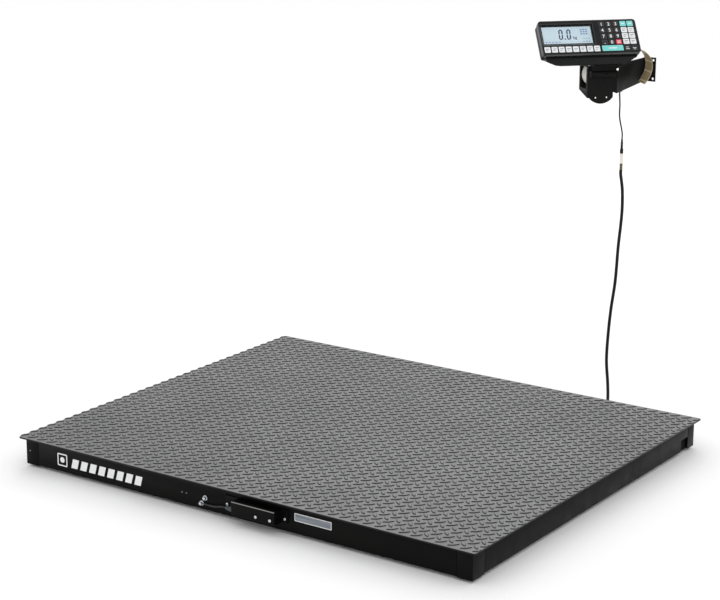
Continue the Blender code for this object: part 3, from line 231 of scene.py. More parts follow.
def smooth_route(points, spacing):
    """Catmull-Rom curve through the points: half the cubic in t with the neighbours' slopes."""
    route = np.asarray(points, float)
    padded = np.vstack([2 * route[0] - route[1], route, 2 * route[-1] - route[-2]])
    line = []
    for a, b, c, d in zip(padded, padded[1:], padded[2:], padded[3:]):
        t = np.linspace(0, 1, max(2, round(np.linalg.norm(c - b) / spacing) + 1))[:-1, None]
        line.append(0.5 * (2 * b + (c - a) * t + (2 * a - 5 * b + 4 * c - d) * t ** 2
                           + (3 * b - a - 3 * c + d) * t ** 3))
    return np.vstack([*line, route[-1:]])


NEVER_ALONG = (0.31, 0.83, 0.46)    # no cord starts in this direction


def sides_of(line):
    """Two unit vectors square to a line at each of its points: one fixed direction less its part along
    the line, and the cross product of the line's direction with that.
    """
    along = np.gradient(line, axis=0)
    along /= np.linalg.norm(along, axis=1)[:, None]
    reference = np.cross(along[0], NEVER_ALONG)
    first = reference - along * (along @ reference)[:, None]
    first /= np.linalg.norm(first, axis=1)[:, None]
    return first, np.cross(along, first)


def tube_along(line, radius, sides=16):
    """Tube: at each point of the line a ring of radius (cos a first side + sin a second side).

    The radius is one number, one for each point, or one for each point and angle.
    """
    angle = np.linspace(0, 2 * np.pi, sides, endpoint=False)
    first, second = sides_of(line)
    reach = np.broadcast_to(np.asarray(radius, float).reshape(-1, 1) if np.ndim(radius) < 2 else radius,
                            (len(line), sides))
    rings = (line[:, None] + reach[..., None] * (np.cos(angle)[None, :, None] * first[:, None]
                                                 + np.sin(angle)[None, :, None] * second[:, None]))
    return loft(rings)


# ---- materials ----------------------------------------------------------------------------------
def linear(colour):
    """sRGB 0xRRGGBB to linear: c / 12.92 up to 0.04045, else ((c + 0.055) / 1.055) ^ 2.4."""
    parts = [((colour >> shift) & 255) / 255 for shift in (16, 8, 0)]
    return (*(c / 12.92 if c <= 0.04045 else ((c + 0.055) / 1.055) ** 2.4 for c in parts), 1.0)


def add(tree, kind, links=None, values=None, **settings):
    """One node of a tree, with its settings, its unlinked values and its links."""
    made = tree.nodes.new("ShaderNode" + kind)
    for name, value in settings.items():
        setattr(made, name, value)
    for socket, value in (values or {}).items():
        made.inputs[socket].default_value = value
    for socket, source in (links or {}).items():
        tree.links.new(source, made.inputs[socket])
    return made


def started(name, colour, roughness, metallic=0.0, **values):
    """A new material: its tree and its Principled shader, with the even values on its own sockets."""
    made = bpy.data.materials.new(name)
    made.use_nodes = True
    made.diffuse_color = linear(colour)
    tree = made.node_tree
    tree.nodes.clear()
    even = {"Base Color": linear(colour), "Roughness": roughness, "Metallic": metallic, **values}
    shader = add(tree, "BsdfPrincipled", values=even)
    add(tree, "OutputMaterial", {"Surface": shader.outputs["BSDF"]})
    return made, tree, shader


def uneven(tree, shader, dark, light, patch, grain, depth, smooth, rough, stretch=(1, 1, 1)):
    """Colour from dark to light over patches, roughness from smooth to rough over smaller ones, and
    bumps one grain wide and depth high. Sizes are in millimetres, and stretch divides them along
    X, Y and Z. Gives back the node of the colour.
    """
    where = add(tree, "Mapping", {"Vector": add(tree, "TexCoord").outputs["Object"]},
                {"Scale": stretch})
    spread = add(tree, "TexNoise", {"Vector": where.outputs[0]},
                 {"Scale": 1 / (patch * MM), "Detail": 4.0, "Roughness": 0.6})
    colour = add(tree, "MapRange", {"Value": spread.outputs["Fac"]},
                 {"From Min": 0.3, "From Max": 0.7})
    mixed = add(tree, "Mix", data_type="RGBA")
    mixed.inputs[6].default_value = linear(dark)
    mixed.inputs[7].default_value = linear(light)
    tree.links.new(colour.outputs[0], mixed.inputs[0])
    tree.links.new(mixed.outputs[2], shader.inputs["Base Color"])
    wear_and_painted_light = add(tree, "TexNoise", {"Vector": where.outputs[0]},
               {"Scale": 3 / (patch * MM), "Detail": 3.0})
    sheen = add(tree, "MapRange", {"Value": wear_and_painted_light.outputs["Fac"]},
                {"From Min": 0.3, "From Max": 0.7, "To Min": smooth, "To Max": rough})
    tree.links.new(sheen.outputs[0], shader.inputs["Roughness"])
    fine = add(tree, "TexNoise", {"Vector": where.outputs[0]},
               {"Scale": 1 / (grain * MM), "Detail": 2.0})
    bump = add(tree, "Bump", {"Height": fine.outputs["Fac"]},
               {"Distance": depth * MM, "Strength": 1.0})
    tree.links.new(bump.outputs[0], shader.inputs["Normal"])
    return mixed


def deck_enamel(name, dark, light, patch, below, from_height, to_height):
    """Checker plate in stoved grey enamel: satin, faintly clouded and scuffed on its upper surfaces.

    Under from_height it is near black and from to_height up clear grey. On the tread lugs the near black
    is painted shade on their sloping sides; on the plate it darkens its edges.
    """
    made, tree, shader = started(name, light, 0.45, **{"Specular IOR Level": 0.2})
    mixed = uneven(tree, shader, dark, light, patch, 1.6, 0.025, 0.38, 0.50)
    spot = add(tree, "SeparateXYZ", {0: add(tree, "TexCoord").outputs["Object"]})
    clear = add(tree, "MapRange", {"Value": spot.outputs[2]},
                {"From Min": from_height, "From Max": to_height})
    # painted shade: the near-black colour below is mixed in under from_height, on the lugs for the shade on
    # their slopes
    wear_and_painted_light = add(tree, "Mix", {0: clear.outputs[0], 7: mixed.outputs[2]}, data_type="RGBA")
    wear_and_painted_light.inputs[6].default_value = linear(below)
    tree.links.new(wear_and_painted_light.outputs[2], shader.inputs["Base Color"])
    return made


def powder_coat(name, dark, light, smooth, rough, grain=0.9, depth=0.03):
    """Near-black powder coat on steel sheet: satin, with the fine orange peel of baked powder."""
    made, tree, shader = started(name, light, rough, **{"Specular IOR Level": 0.08})
    uneven(tree, shader, dark, light, 90, grain, depth, smooth, rough)
    return made


def guard_coat_with_painted_highlight(lowest, highest):
    """The skirt's powder coat with a painted highlight: a light grey band along the guard's upper front fold.
    """
    made, tree, shader = started("black_powder_coat_painted_fold_highlight", 0x080807, 0.38, **{"Specular IOR Level": 0.08})
    mixed = uneven(tree, shader, 0x050505, 0x080807, 90, 0.9, 0.03, 0.34, 0.46)
    spot = add(tree, "SeparateXYZ", {0: add(tree, "TexCoord").outputs["Object"]})
    upper = add(tree, "MapRange", {"Value": spot.outputs[2]},
                {"From Min": highest[2] - 1.8 * MM, "From Max": highest[2] - 1.0 * MM})
    ahead = add(tree, "MapRange", {"Value": spot.outputs[1]},
                {"From Min": lowest[1] + 1.6 * MM, "From Max": lowest[1] + 0.8 * MM})
    fold = add(tree, "Math", {0: upper.outputs[0], 1: ahead.outputs[0]}, operation="MULTIPLY")
    # Painted highlight: light grey 0x8A8A86 in the band along the guard's upper front fold, where its lit
    # edge shows.
    wear_and_painted_light = add(tree, "Mix", {0: fold.outputs[0], 6: mixed.outputs[2]}, data_type="RGBA")
    wear_and_painted_light.inputs[7].default_value = linear(0x8A8A86)
    tree.links.new(wear_and_painted_light.outputs[2], shader.inputs["Base Color"])
    return made


def moulded_abs():
    """Injection-moulded ABS with a spark-eroded grain, drawn 0.6 mm wide so that it shows."""
    made, tree, shader = started("spark_grained_abs", 0x0C0D0E, 0.36, **{"Specular IOR Level": 0.16})
    uneven(tree, shader, 0x09090A, 0x0F1011, 40, 0.6, 0.03, 0.32, 0.46)
    return made


def polished_abs():
    """The cover's rim in the same ABS, moulded in a polished part of the tool: glossier, hardly grained."""
    made, tree, shader = started("polished_abs_rim", 0x17181A, 0.24)
    uneven(tree, shader, 0x141517, 0x1B1C1E, 30, 0.8, 0.008, 0.20, 0.30)
    return made


def keypad_overlay():
    """Screen-printed polyester overlay: smooth satin, charcoal, with a faint hard-coat ripple."""
    made, tree, shader = started("charcoal_polyester_overlay", 0x141517, 0.33, **{"Specular IOR Level": 0.2})
    uneven(tree, shader, 0x111214, 0x18191B, 30, 0.8, 0.006, 0.28, 0.38)
    return made


def printed_ink(name, dark, light, roughness=0.36):
    """Opaque screen ink under the overlay's satin hard coat; its lay varies a little."""
    made, tree, shader = started(name, light, roughness)
    uneven(tree, shader, dark, light, 9, 0.8, 0.004, roughness - 0.05, roughness + 0.06)
    return made


def bright_zinc():
    """Bright zinc plate on a steel screw: a soft mirror with a fine grain and a faint blue cast."""
    made, tree, shader = started("bright_zinc_plate", 0xC9CDD2, 0.22, 1.0)
    uneven(tree, shader, 0xB4B9BF, 0xDDE1E5, 3, 0.5, 0.01, 0.14, 0.30)
    return made


def satin_steel():
    """Nickel-plated load-cell steel, milled: satin, with lines 0.5 mm apart along the block."""
    made, tree, shader = started("nickel_plated_milled_steel", 0x9FA3A6, 0.35, 1.0)
    uneven(tree, shader, 0x909497, 0xABAFB2, 12, 0.5, 0.012, 0.28, 0.44, stretch=(0.1, 1, 1))
    return made


def brushed_aluminium():
    """Brushed anodised aluminium of the plates: silver-blue, brushed along X, lines 0.4 mm apart."""
    made, tree, shader = started("brushed_anodised_aluminium", 0x7C8187, 0.34, 0.85)
    uneven(tree, shader, 0x60656B, 0x969CA3, 8, 0.4, 0.01, 0.28, 0.42, stretch=(0.04, 1, 1))
    return made


def foot_rubber():
    """Moulded black rubber: matt, with a bloom of grey in its low places."""
    made, tree, shader = started("moulded_black_rubber", 0x242424, 0.8)
    uneven(tree, shader, 0x1B1B1B, 0x2E2E2E, 12, 0.7, 0.05, 0.72, 0.88)
    return made


def grey_nylon():
    """Moulded glass-filled nylon: mid grey, satin, with fibres that show as a mottle."""
    made, tree, shader = started("moulded_grey_nylon", 0x3C3E41, 0.5)
    uneven(tree, shader, 0x323437, 0x484B4F, 3, 0.5, 0.02, 0.42, 0.58)
    return made


def label_paper():
    """Thermal label paper: warm white with faint grey fibre clouds, matt."""
    made, tree, shader = started("thermal_label_paper", 0xE4E1DA, 0.75)
    uneven(tree, shader, 0xD6D2CA, 0xECEAE4, 14, 0.4, 0.01, 0.68, 0.82)
    return made


def glassine_liner():
    """Silicone-coated glassine seen from behind: khaki, darker under each label, paler at its edges.

    Runs on the piece's own UV map: U along the strip in metres, V across it from 0 to 1. The labels
    are 21 mm long with 3 mm between them, and the paper's calender streaks are 2 mm apart.
    """
    made, tree, shader = started("khaki_glassine_liner", 0x94845F, 0.42)
    spot = add(tree, "SeparateXYZ", {0: add(tree, "UVMap").outputs[0]})
    turn = add(tree, "Math", {0: spot.outputs[0]}, {1: 0.024}, operation="MODULO")
    gap = add(tree, "Math", {0: turn.outputs[0]}, {1: 0.003}, operation="LESS_THAN")
    middle = add(tree, "Math", {0: spot.outputs[1]}, {1: 0.5}, operation="SUBTRACT")
    off = add(tree, "Math", {0: middle.outputs[0]}, operation="ABSOLUTE")
    rim = add(tree, "Math", {0: off.outputs[0]}, {1: 0.455}, operation="GREATER_THAN")
    bare = add(tree, "Math", {0: gap.outputs[0], 1: rim.outputs[0]}, operation="MAXIMUM")
    streaks = add(tree, "TexNoise", {"Vector": add(tree, "Mapping",
                  {"Vector": add(tree, "UVMap").outputs[0]}, {"Scale": (60, 22, 1)}).outputs[0]},
                  {"Scale": 1.0, "Detail": 3.0})
    body = add(tree, "Mix", {0: streaks.outputs["Fac"]}, data_type="RGBA")
    body.inputs[6].default_value = linear(0x95845F)
    body.inputs[7].default_value = linear(0xC9B68C)
    colour = add(tree, "Mix", {0: bare.outputs[0], 6: body.outputs[2]}, data_type="RGBA")
    colour.inputs[7].default_value = linear(0xE6D8B8)
    tree.links.new(colour.outputs[2], shader.inputs["Base Color"])
    bump = add(tree, "Bump", {"Height": bare.outputs[0]}, {"Distance": 0.06 * MM}, invert=True)
    tree.links.new(bump.outputs[0], shader.inputs["Normal"])
    return made


def core_card():
    """Spiral-wound core card: brown, matt, with paper fibres."""
    made, tree, shader = started("spiral_wound_card", 0xA8865C, 0.85)
    uneven(tree, shader, 0x96754D, 0xB59468, 5, 0.5, 0.03, 0.8, 0.9)
    return made


def lcd_glass():
    """Backlit liquid-crystal cell: a pale blue that deepens in faint clouds, with a 0.6 mm texture."""
    made, tree, shader = started("backlit_lcd_cell", 0xC7DAE3, 0.3)
    uneven(tree, shader, 0xBAD3E4, 0xCBDDE4, 50, 0.6, 0.002, 0.26, 0.34)
    shader.inputs["Emission Strength"].default_value = 0.28
    shader.inputs["Emission Color"].default_value = linear(0xC7DAE3)
    return made


def lcd_ink(name, colour):
    """A driven liquid-crystal segment: flat, slightly glossy."""
    made, tree, shader = started(name, colour, 0.3)
    uneven(tree, shader, colour, colour + 0x060606, 6, 0.6, 0.002, 0.26, 0.34)
    return made


def clear_window():
    """Clear polycarbonate over the display: almost no colour of its own, with a soft reflection."""
    made, tree, shader = started("clear_polycarbonate", 0x10161B, 0.12)
    shader.inputs["Alpha"].default_value = 0.07
    uneven(tree, shader, 0x0D1216, 0x141A20, 20, 1.2, 0.003, 0.08, 0.16)
    return made


def circuit_board():
    """Green solder resist over copper on glass laminate: half gloss, mottled where copper lies below."""
    made, tree, shader = started("green_solder_resist", 0x1F5A36, 0.35)
    uneven(tree, shader, 0x174B2C, 0x27683F, 6, 0.8, 0.02, 0.28, 0.45)
    return made


def cable_jacket(name, dark, light, smooth, rough):
    """Extruded PVC jacket: satin, slightly dusty, with a fine grain about 1 mm wide."""
    made, tree, shader = started(name, light, rough, **{"Specular IOR Level": 0.25})
    uneven(tree, shader, dark, light, 14, 1.0, 0.02, smooth, rough)
    return made


def turned_metal(name, dark, light):
    """Turned brass or its nickel plate: satin metal, its tool marks a 0.4 mm grain, a little tarnished."""
    made, tree, shader = started(name, light, 0.28, 1.0)
    uneven(tree, shader, dark, light, 4, 0.4, 0.01, 0.2, 0.36)
    return made


TREAD_RISE = 1.8 * MM
DECK_TOP = float(deck_high[2])
enamel = deck_enamel("stoved_grey_enamel", 0x6C6C6D, 0x787879, 260, 0x0C0C0C,
                     DECK_TOP - 0.7 * MM, DECK_TOP - 0.2 * MM)
# Painted shade: the lugs are near black 0x050505 on their sides up to 60 % of their rise, for the shade on
# their slopes.
tread = deck_enamel("tread_grey_enamel_painted_slope_shade", 0x707071, 0x7C7C7D, 120, 0x050505,
                    DECK_TOP + 0.60 * TREAD_RISE, DECK_TOP + TREAD_RISE)
skirt_coat = powder_coat("black_powder_coat_skirt", 0x050505, 0x080807, 0.34, 0.46)
# Painted shade: almost black, for the sheets behind the foot notches that stand in for the shade inside them.
notch_painted_shade_coat = powder_coat("painted_shade_black_powder_coat", 0x010101, 0x020202, 0.60, 0.75)
bracket_coat = powder_coat("black_powder_coat_bracket", 0x101010, 0x161615, 0.42, 0.56, 0.7, 0.03)
abs_case = moulded_abs()
abs_rim = polished_abs()
overlay = keypad_overlay()
bezel_ink = printed_ink("black_bezel_ink", 0x08090A, 0x0C0D0F, 0.30)
white_ink = printed_ink("white_key_ink", 0xDFE2E4, 0xECEEEF)
turquoise_ink = printed_ink("turquoise_key_ink", 0x6FD0CB, 0x84DDD7)
red_ink = printed_ink("red_key_ink", 0xD83A52, 0xE5485E)
dark_ink = printed_ink("dark_key_ink", 0x15161A, 0x1B1C20)
legend_white = printed_ink("white_legend_ink", 0xE9EBEC, 0xF2F3F4)
legend_grey = printed_ink("grey_legend_ink", 0x6E7378, 0x7C8186)
skirt_white = printed_ink("white_vinyl", 0xE8E8E8, 0xF2F2F2, 0.4)
zinc = bright_zinc()
cell_steel = satin_steel()
plate_metal = brushed_aluminium()
rubber = foot_rubber()
nylon = grey_nylon()
paper = label_paper()
liner = glassine_liner()
card = core_card()
lcd = lcd_glass()
lcd_dark = lcd_ink("lcd_driven_segment", 0x23285E)
lcd_faint = lcd_ink("lcd_faint_segment", 0x86A3CB)
window = clear_window()
board = circuit_board()
lead_jacket = cable_jacket("dark_grey_pvc_jacket", 0x0E0F10, 0x1A1B1D, 0.40, 0.52)
sheath = cable_jacket("black_ribbed_sheath", 0x050506, 0x0A0A0B, 0.26, 0.36)
braid = cable_jacket("grey_tinned_braid", 0x1A1B1C, 0x3A3C3F, 0.30, 0.45)
brass = turned_metal("turned_dull_brass", 0x4F4535, 0x8E7F63)
bright_nickel = turned_metal("turned_nickel_plate", 0xD8D4CA, 0xF2EFE8)


# ---- camera -------------------------------------------------------------------------------------
eye = bpy.data.cameras.new("eye")
eye.lens = 99.88
eye.sensor_width = 36.0
eye.clip_end = 60.0
camera = bpy.data.objects.new("eye", eye)
bpy.context.scene.collection.objects.link(camera)
camera.matrix_world = (Matrix.Translation((2.446, -3.6342, 1.534))
                       @ Matrix.Rotation(radians(34.64), 4, "Z")
                       @ Matrix.Rotation(radians(90 - 15.07), 4, "X")
                       @ Matrix.Rotation(radians(0.16), 4, "Z"))
bpy.context.scene.camera = camera


# ---- cords --------------------------------------------------------------------------------------
LEAD_Y = 0.555
LEAD_RADIUS = 1.8 * MM
CABLE_RADIUS = 3.9 * MM
GLAND_END = 0.5091
lead_points = [(0.3307, LEAD_Y, 0.7992), (0.3307, LEAD_Y, 0.7915), (0.3322, LEAD_Y, 0.7700),
               (0.3327, LEAD_Y, 0.7400), (0.3391, LEAD_Y, 0.7120), (0.3411, LEAD_Y, 0.7010),
               (0.3411, LEAD_Y, 0.6913)]
cable_points = [(0.3411, LEAD_Y, 0.6167), (0.3411, LEAD_Y, 0.6050), (0.3466, LEAD_Y, 0.5700),
                (0.3481, LEAD_Y, 0.5250), (0.3460, LEAD_Y, 0.4850), (0.3415, LEAD_Y, 0.4320),
                (0.3370, LEAD_Y, 0.3480), (0.3285, LEAD_Y, 0.2780), (0.3235, LEAD_Y, 0.2160),
                (0.3215, LEAD_Y, 0.1500), (0.3278, LEAD_Y - 0.002, 0.0950),
                (0.3360, LEAD_Y - 0.014, 0.0600), (0.3390, GLAND_END + 0.020, 0.0465),
                (0.3390, GLAND_END + 0.006, 0.0430), (0.3390, GLAND_END, 0.0430)]


RIB_PITCH = 5.0 * MM


def ribbed_sheath(line):
    """Ribbed tube: radius times 0.90 + 0.12 (half of 1 + cos of the run over the pitch) ^ 0.6."""
    run = np.concatenate([[0], np.cumsum(np.linalg.norm(np.diff(line, axis=0), axis=1))])
    wave = 0.5 + 0.5 * np.cos(2 * np.pi * run / RIB_PITCH)
    return tube_along(line, CABLE_RADIUS * (0.90 + 0.12 * wave ** 0.6), 16)


lead_line = place(smooth_route(lead_points, 2.0 * MM), PLATFORM, PLAIN)
cable_line = place(smooth_route(cable_points, RIB_PITCH / 6), PLATFORM, PLAIN)
terminal_lead = piece("terminal_lead_jacket", tube_along(lead_line, LEAD_RADIUS, 16), lead_jacket,
                      "platform", stands_for=("terminal_lead",))
platform_cable = piece("platform_cable_sheath", ribbed_sheath(cable_line), sheath,
                       "platform", stands_for=("platform_cable",))


plug_low, plug_high = (np.array(c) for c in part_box("connector_plug"))
socket_low, socket_high = (np.array(c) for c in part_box("connector_socket"))
plug_foot = np.array([*((plug_low + plug_high) / 2)[:2], plug_low[2]])
socket_foot = np.array([*((socket_low + socket_high) / 2)[:2], socket_low[2]])
CONNECTOR = 4.4 * MM    # radius that the connector's rings are shares of
connector_plug = piece("connector_plug_shell", turned([
    (0.86 * CONNECTOR, 0), (0.92 * CONNECTOR, 0.5 * MM), (0.92 * CONNECTOR, 9.6 * MM),
    (0.86 * CONNECTOR, 10.2 * MM), (0.66 * CONNECTOR, 10.6 * MM), (0.66 * CONNECTOR, 24 * MM),
    (0.62 * CONNECTOR, 25 * MM), (0.50 * CONNECTOR, 31 * MM), (0.48 * CONNECTOR, 34.4 * MM)], 48),
    lead_jacket, "platform", plug_foot, stands_for=("connector_plug",))
connector_nut = piece("connector_coupling_nut", turned([
    (0.85 * CONNECTOR, 14.6 * MM), (0.96 * CONNECTOR, 15.0 * MM), (0.97 * CONNECTOR, 16.0 * MM, 1),
    (0.97 * CONNECTOR, 36.2 * MM, 1), (0.96 * CONNECTOR, 37.4 * MM), (0.85 * CONNECTOR, 38.2 * MM)],
    48, 18, 0.025), bright_nickel, "platform", socket_foot)
collars = [turned([(0.67 * CONNECTOR, foot), (0.76 * CONNECTOR, foot + 0.3 * MM),
                   (0.76 * CONNECTOR, foot + tall), (0.67 * CONNECTOR, foot + tall + 0.3 * MM)], 32)
           for foot, tall in ((19.5 * MM, 2.0 * MM), (24.5 * MM, 1.2 * MM))]
connector_rings = piece("connector_clamp_rings", together(collars), brass, "platform", plug_foot)
connector_socket = piece("connector_socket_shell", turned([
    (0.80 * CONNECTOR, 0), (0.84 * CONNECTOR, 0.6 * MM), (0.84 * CONNECTOR, 5 * MM),
    (0.74 * CONNECTOR, 5.6 * MM), (0.74 * CONNECTOR, 7.4 * MM), (0.84 * CONNECTOR, 8 * MM),
    (0.84 * CONNECTOR, 19 * MM), (0.84 * CONNECTOR, 38.2 * MM)], 48),
    brass, "platform", socket_foot, stands_for=("connector_socket",))


# ---- platform -----------------------------------------------------------------------------------
DECK = deck_high - deck_low
DECK_CORNER = 4.0 * MM
DECK_EDGE = 0.4 * MM


def deck_sheet():
    """Rounded rectangle carried up the plate's thickness, drawn in by the edge break at both faces."""
    rings = []
    for inset, height in ((DECK_EDGE, 0), (0, DECK_EDGE), (0, DECK[2] - DECK_EDGE), (DECK_EDGE, DECK[2])):
        shape = rounded_outline(DECK[0] - 2 * inset, DECK[1] - 2 * inset, DECK_CORNER - inset)
        rings.append(at_height(shape, height))
    return loft(rings)


deck_origin = np.array([PLATFORM[0], PLATFORM[1], deck_low[2]])
piece("deck_sheet", deck_sheet(), enamel, "platform", deck_origin, stands_for=("deck_plate",))

TREAD_PITCH = 28.5 * MM
LUG_LENGTH = 25.5 * MM
LUG_WIDTH = 8.6 * MM
LUG_POINTS = 12


def lug(turn_degrees):
    """A lentil lug turned about Z: half width = width / 2 (1 - |2 x / length| ^ 1.8), its sides sloping
    in to a crown.
    """
    angle = np.linspace(0, 2 * np.pi, LUG_POINTS, endpoint=False)
    along = np.cos(angle)
    across = np.sign(np.sin(angle)) * (1 - np.abs(along) ** 1.8)
    across[np.isclose(np.abs(along), 1)] = 0
    rings = []
    for inset, height in ((0, -0.1 * MM), (0.6 * MM, 0.66 * TREAD_RISE), (1.9 * MM, TREAD_RISE)):
        rings.append(np.stack([(LUG_LENGTH / 2 - 1.6 * inset) * along, (LUG_WIDTH / 2 - inset) * across,
                               np.full(LUG_POINTS, height)], axis=1))
    points, faces = loft(rings)
    c, s = np.cos(radians(turn_degrees)), np.sin(radians(turn_degrees))
    return points @ np.array([(c, s, 0), (-s, c, 0), (0, 0, 1)]), faces


def tread_lugs(name, turn_degrees, shift):
    """Lugs on a square lattice over the deck, trimmed at its edges: centre = (i, j) pitch + shift."""
    half = DECK[:2] / 2
    counts = np.ceil(half / TREAD_PITCH).astype(int) + 1
    i, j = np.meshgrid(np.arange(-counts[0], counts[0] + 1), np.arange(-counts[1], counts[1] + 1))
    centres = np.stack([i.ravel(), j.ravel()], axis=1) * TREAD_PITCH + np.asarray(shift) * TREAD_PITCH
    centres = centres[(np.abs(centres) < half - 1.5 * MM).all(axis=1)]
    points, faces = copies(*lug(turn_degrees), np.column_stack([centres, np.zeros(len(centres))]))
    points[:, :2] = np.clip(points[:, :2], DECK_EDGE - half, half - DECK_EDGE)
    piece(name, (points, faces), tread, "platform", (PLATFORM[0], PLATFORM[1], DECK_TOP), sharp=50)


tread_lugs("tread_lugs_rising", 45, (0.0, 0.0))
tread_lugs("tread_lugs_falling", -45, (0.5, 0.5))

for node in ("front_channel", "rear_channel", "left_channel", "right_channel",
             "corner_post_front_left", "corner_post_front_right",
             "corner_post_rear_left", "corner_post_rear_right"):
    eased(node + "_sheet", node, skirt_coat, "platform", 0.9 * MM)
for node in ("cross_beam_left", "cross_beam_right", "cell_mount_front_left", "cell_mount_front_right",
             "cell_mount_rear_left", "cell_mount_rear_right"):
    eased(node + "_steel", node, skirt_coat, "platform", 0.8 * MM)
for corner in ("front_left", "front_right", "rear_left", "rear_right"):
    eased("load_cell_block_" + corner, "load_cell_" + corner, cell_steel, "platform", 0.6 * MM)
    low, high = (np.array(c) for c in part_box("levelling_foot_" + corner))
    middle = np.array([*((low + high) / 2)[:2], low[2]])
    radius = (high[0] - low[0]) / 2
    piece("foot_pad_" + corner, turned([
        (0.90 * radius, 0), (radius, 1.2 * MM), (radius, 5.4 * MM), (0.94 * radius, 6.6 * MM),
        (0.80 * radius, 9.6 * MM), (0.76 * radius, 10 * MM)], 48), rubber, "foot_" + corner, middle,
        stands_for=("levelling_foot_" + corner,))
    piece("foot_stud_" + corner, turned([
        (9.2 * MM, 10.05 * MM), (8.7 * MM, 10.6 * MM, 1), (8.7 * MM, 17.4 * MM, 1), (8.4 * MM, 18 * MM),
        (5.9 * MM, 18.05 * MM), (5.9 * MM, high[2] - low[2] - 0.6 * MM),
        (5.2 * MM, high[2] - low[2])], 36, 6), zinc, "foot_" + corner, middle)

# Painted shade: near-black sheets set behind the foot notches, where only shade shows.
SHADE_SHEET_THICKNESS = 1.5 * MM
SHADE_SHEET_SETBACK = 5.0 * MM
SHADE_SHEET_SIZE = (50.0 * MM, 30.5 * MM)
SHADE_SHEET_CORNER = 1.5 * MM
SHADE_SHEET_MIDDLE = (0.4470, 0.0215)    # along Y and in height


def notch_painted_shade_sheet(side):
    """A near-black sheet of painted shade that closes the foot's access notch from behind: its outline along
    Y and Z, given a wall.
    """
    lowest, highest = extent(side + "_channel", PLATFORM, PLAIN)
    out, face = (1, highest[0]) if side == "right" else (-1, lowest[0])
    outline = rounded_outline(*SHADE_SHEET_SIZE, SHADE_SHEET_CORNER, SHADE_SHEET_MIDDLE)
    rings = [np.column_stack([np.full(len(outline), face - out * setback), outline])
             for setback in (SHADE_SHEET_SETBACK, SHADE_SHEET_SETBACK + SHADE_SHEET_THICKNESS)]
    return loft(rings)


for side in ("left", "right"):
    piece("notch_painted_shade_sheet_" + side, notch_painted_shade_sheet(side), notch_painted_shade_coat, "platform", PLATFORM)

FRONT = extent("front_channel", PLATFORM, PLAIN)[0][1]
FRONT_AXES = np.array([(1.0, 0, 0), (0, 0, 1.0), (0, -1.0, 0)])    # x right, y up, z out of the skirt


def on_front(x, height, out=0.0):
    """A point on the front skirt, from its distance right of the middle and its height."""
    return PLATFORM + (x, FRONT - out, height)


eased("guard_sheet", "junction_guard", guard_coat_with_painted_highlight(*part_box("junction_guard")), "platform",
      1.1 * MM, 3)
eased("junction_box_tub", "junction_box", plate_metal, "platform", 0.8 * MM)
eased("junction_box_lid", "junction_lid", plate_metal, "platform", 0.8 * MM)


def button_screw(radius, height):
    """Button head: a dome from the rim to the top, with a hexagon socket sunk in it."""
    turn = np.linspace(0, np.pi / 2, 6)
    dome = [(radius * (0.42 + 0.58 * np.cos(a)), height * (0.25 + 0.75 * np.sin(a))) for a in turn]
    return turned([(radius * 0.98, 0), *dome, (radius * 0.34, height * 0.98, 1),
                   (radius * 0.32, height * 0.45, 1), (radius * 0.05, height * 0.35)], 36, 6)


def hexagon_bolt(radius, length, washer, sheet):
    """Bolt head: a washer, then a hexagon with its corners chamfered."""
    return turned([(washer * 0.97, 0), (washer, 0.3 * MM), (washer, sheet),
                   (radius * 1.02, sheet + 0.02 * MM), (radius * 0.88, sheet + 0.25 * MM, 1),
                   (radius * 0.88, length * 0.84, 1),
                   (radius * 0.84, length * 0.96), (radius * 0.30, length)], 36, 6)


for node in ("guard_screw_1", "guard_screw_2", "flange_screw_left", "flange_screw_right"):
    low, high = extent(node, PLATFORM, PLAIN)
    seat = PLATFORM + ((low[0] + high[0]) / 2, high[1], (low[2] + high[2]) / 2)
    piece(node + "_head", button_screw((high[0] - low[0]) / 2, high[1] - low[1]), zinc, "platform",
          seat, FRONT_AXES, (node,))
for node in ("earth_bolt_upper", "earth_bolt_lower"):
    low, high = extent(node, PLATFORM, PLAIN)
    seat = PLATFORM + ((low[0] + high[0]) / 2, high[1], (low[2] + high[2]) / 2)
    piece(node + "_head", hexagon_bolt(4.0 * MM, high[1] - low[1], (high[0] - low[0]) / 2, 1.5 * MM),
          zinc, "platform", seat, FRONT_AXES, (node,))


def gland(radius, length, bore):
    """Cable gland: a ribbed nut, a step, and a clamping cone down to the lead."""
    return turned([(radius * 0.96, 0), (radius, 0.5 * MM), (radius, 1.0 * MM, 1),
                   (radius, length * 0.52, 1), (radius * 0.94, length * 0.56), (radius * 0.84, length * 0.58),
                   (radius * 0.84, length * 0.66), (radius * 0.94, length * 0.68),
                   (radius * 0.90, length * 0.80), (bore * 1.35, length * 0.97), (bore * 1.15, length)],
                  60, 12, 0.04)


low, high = extent("lead_gland", PLATFORM, PLAIN)
piece("lead_gland_nut", gland((high[1] - low[1]) / 2 * 0.96, high[0] - low[0], 1.8 * MM), nylon,
      "platform", PLATFORM + (high[0], (low[1] + high[1]) / 2, (low[2] + high[2]) / 2),
      np.array([(0, 1.0, 0), (0, 0, -1.0), (-1.0, 0, 0)]), ("lead_gland",))
low, high = extent("rear_gland", PLATFORM, PLAIN)
piece("rear_gland_nut", gland((high[0] - low[0]) / 2 * 0.96, high[1] - low[1], CABLE_RADIUS), nylon,
      "platform", PLATFORM + ((low[0] + high[0]) / 2, low[1], (low[2] + high[2]) / 2),
      np.array([(1.0, 0, 0), (0, 0, -1.0), (0, 1.0, 0)]), ("rear_gland",))

BRAID_PITCH = 3.0 * MM


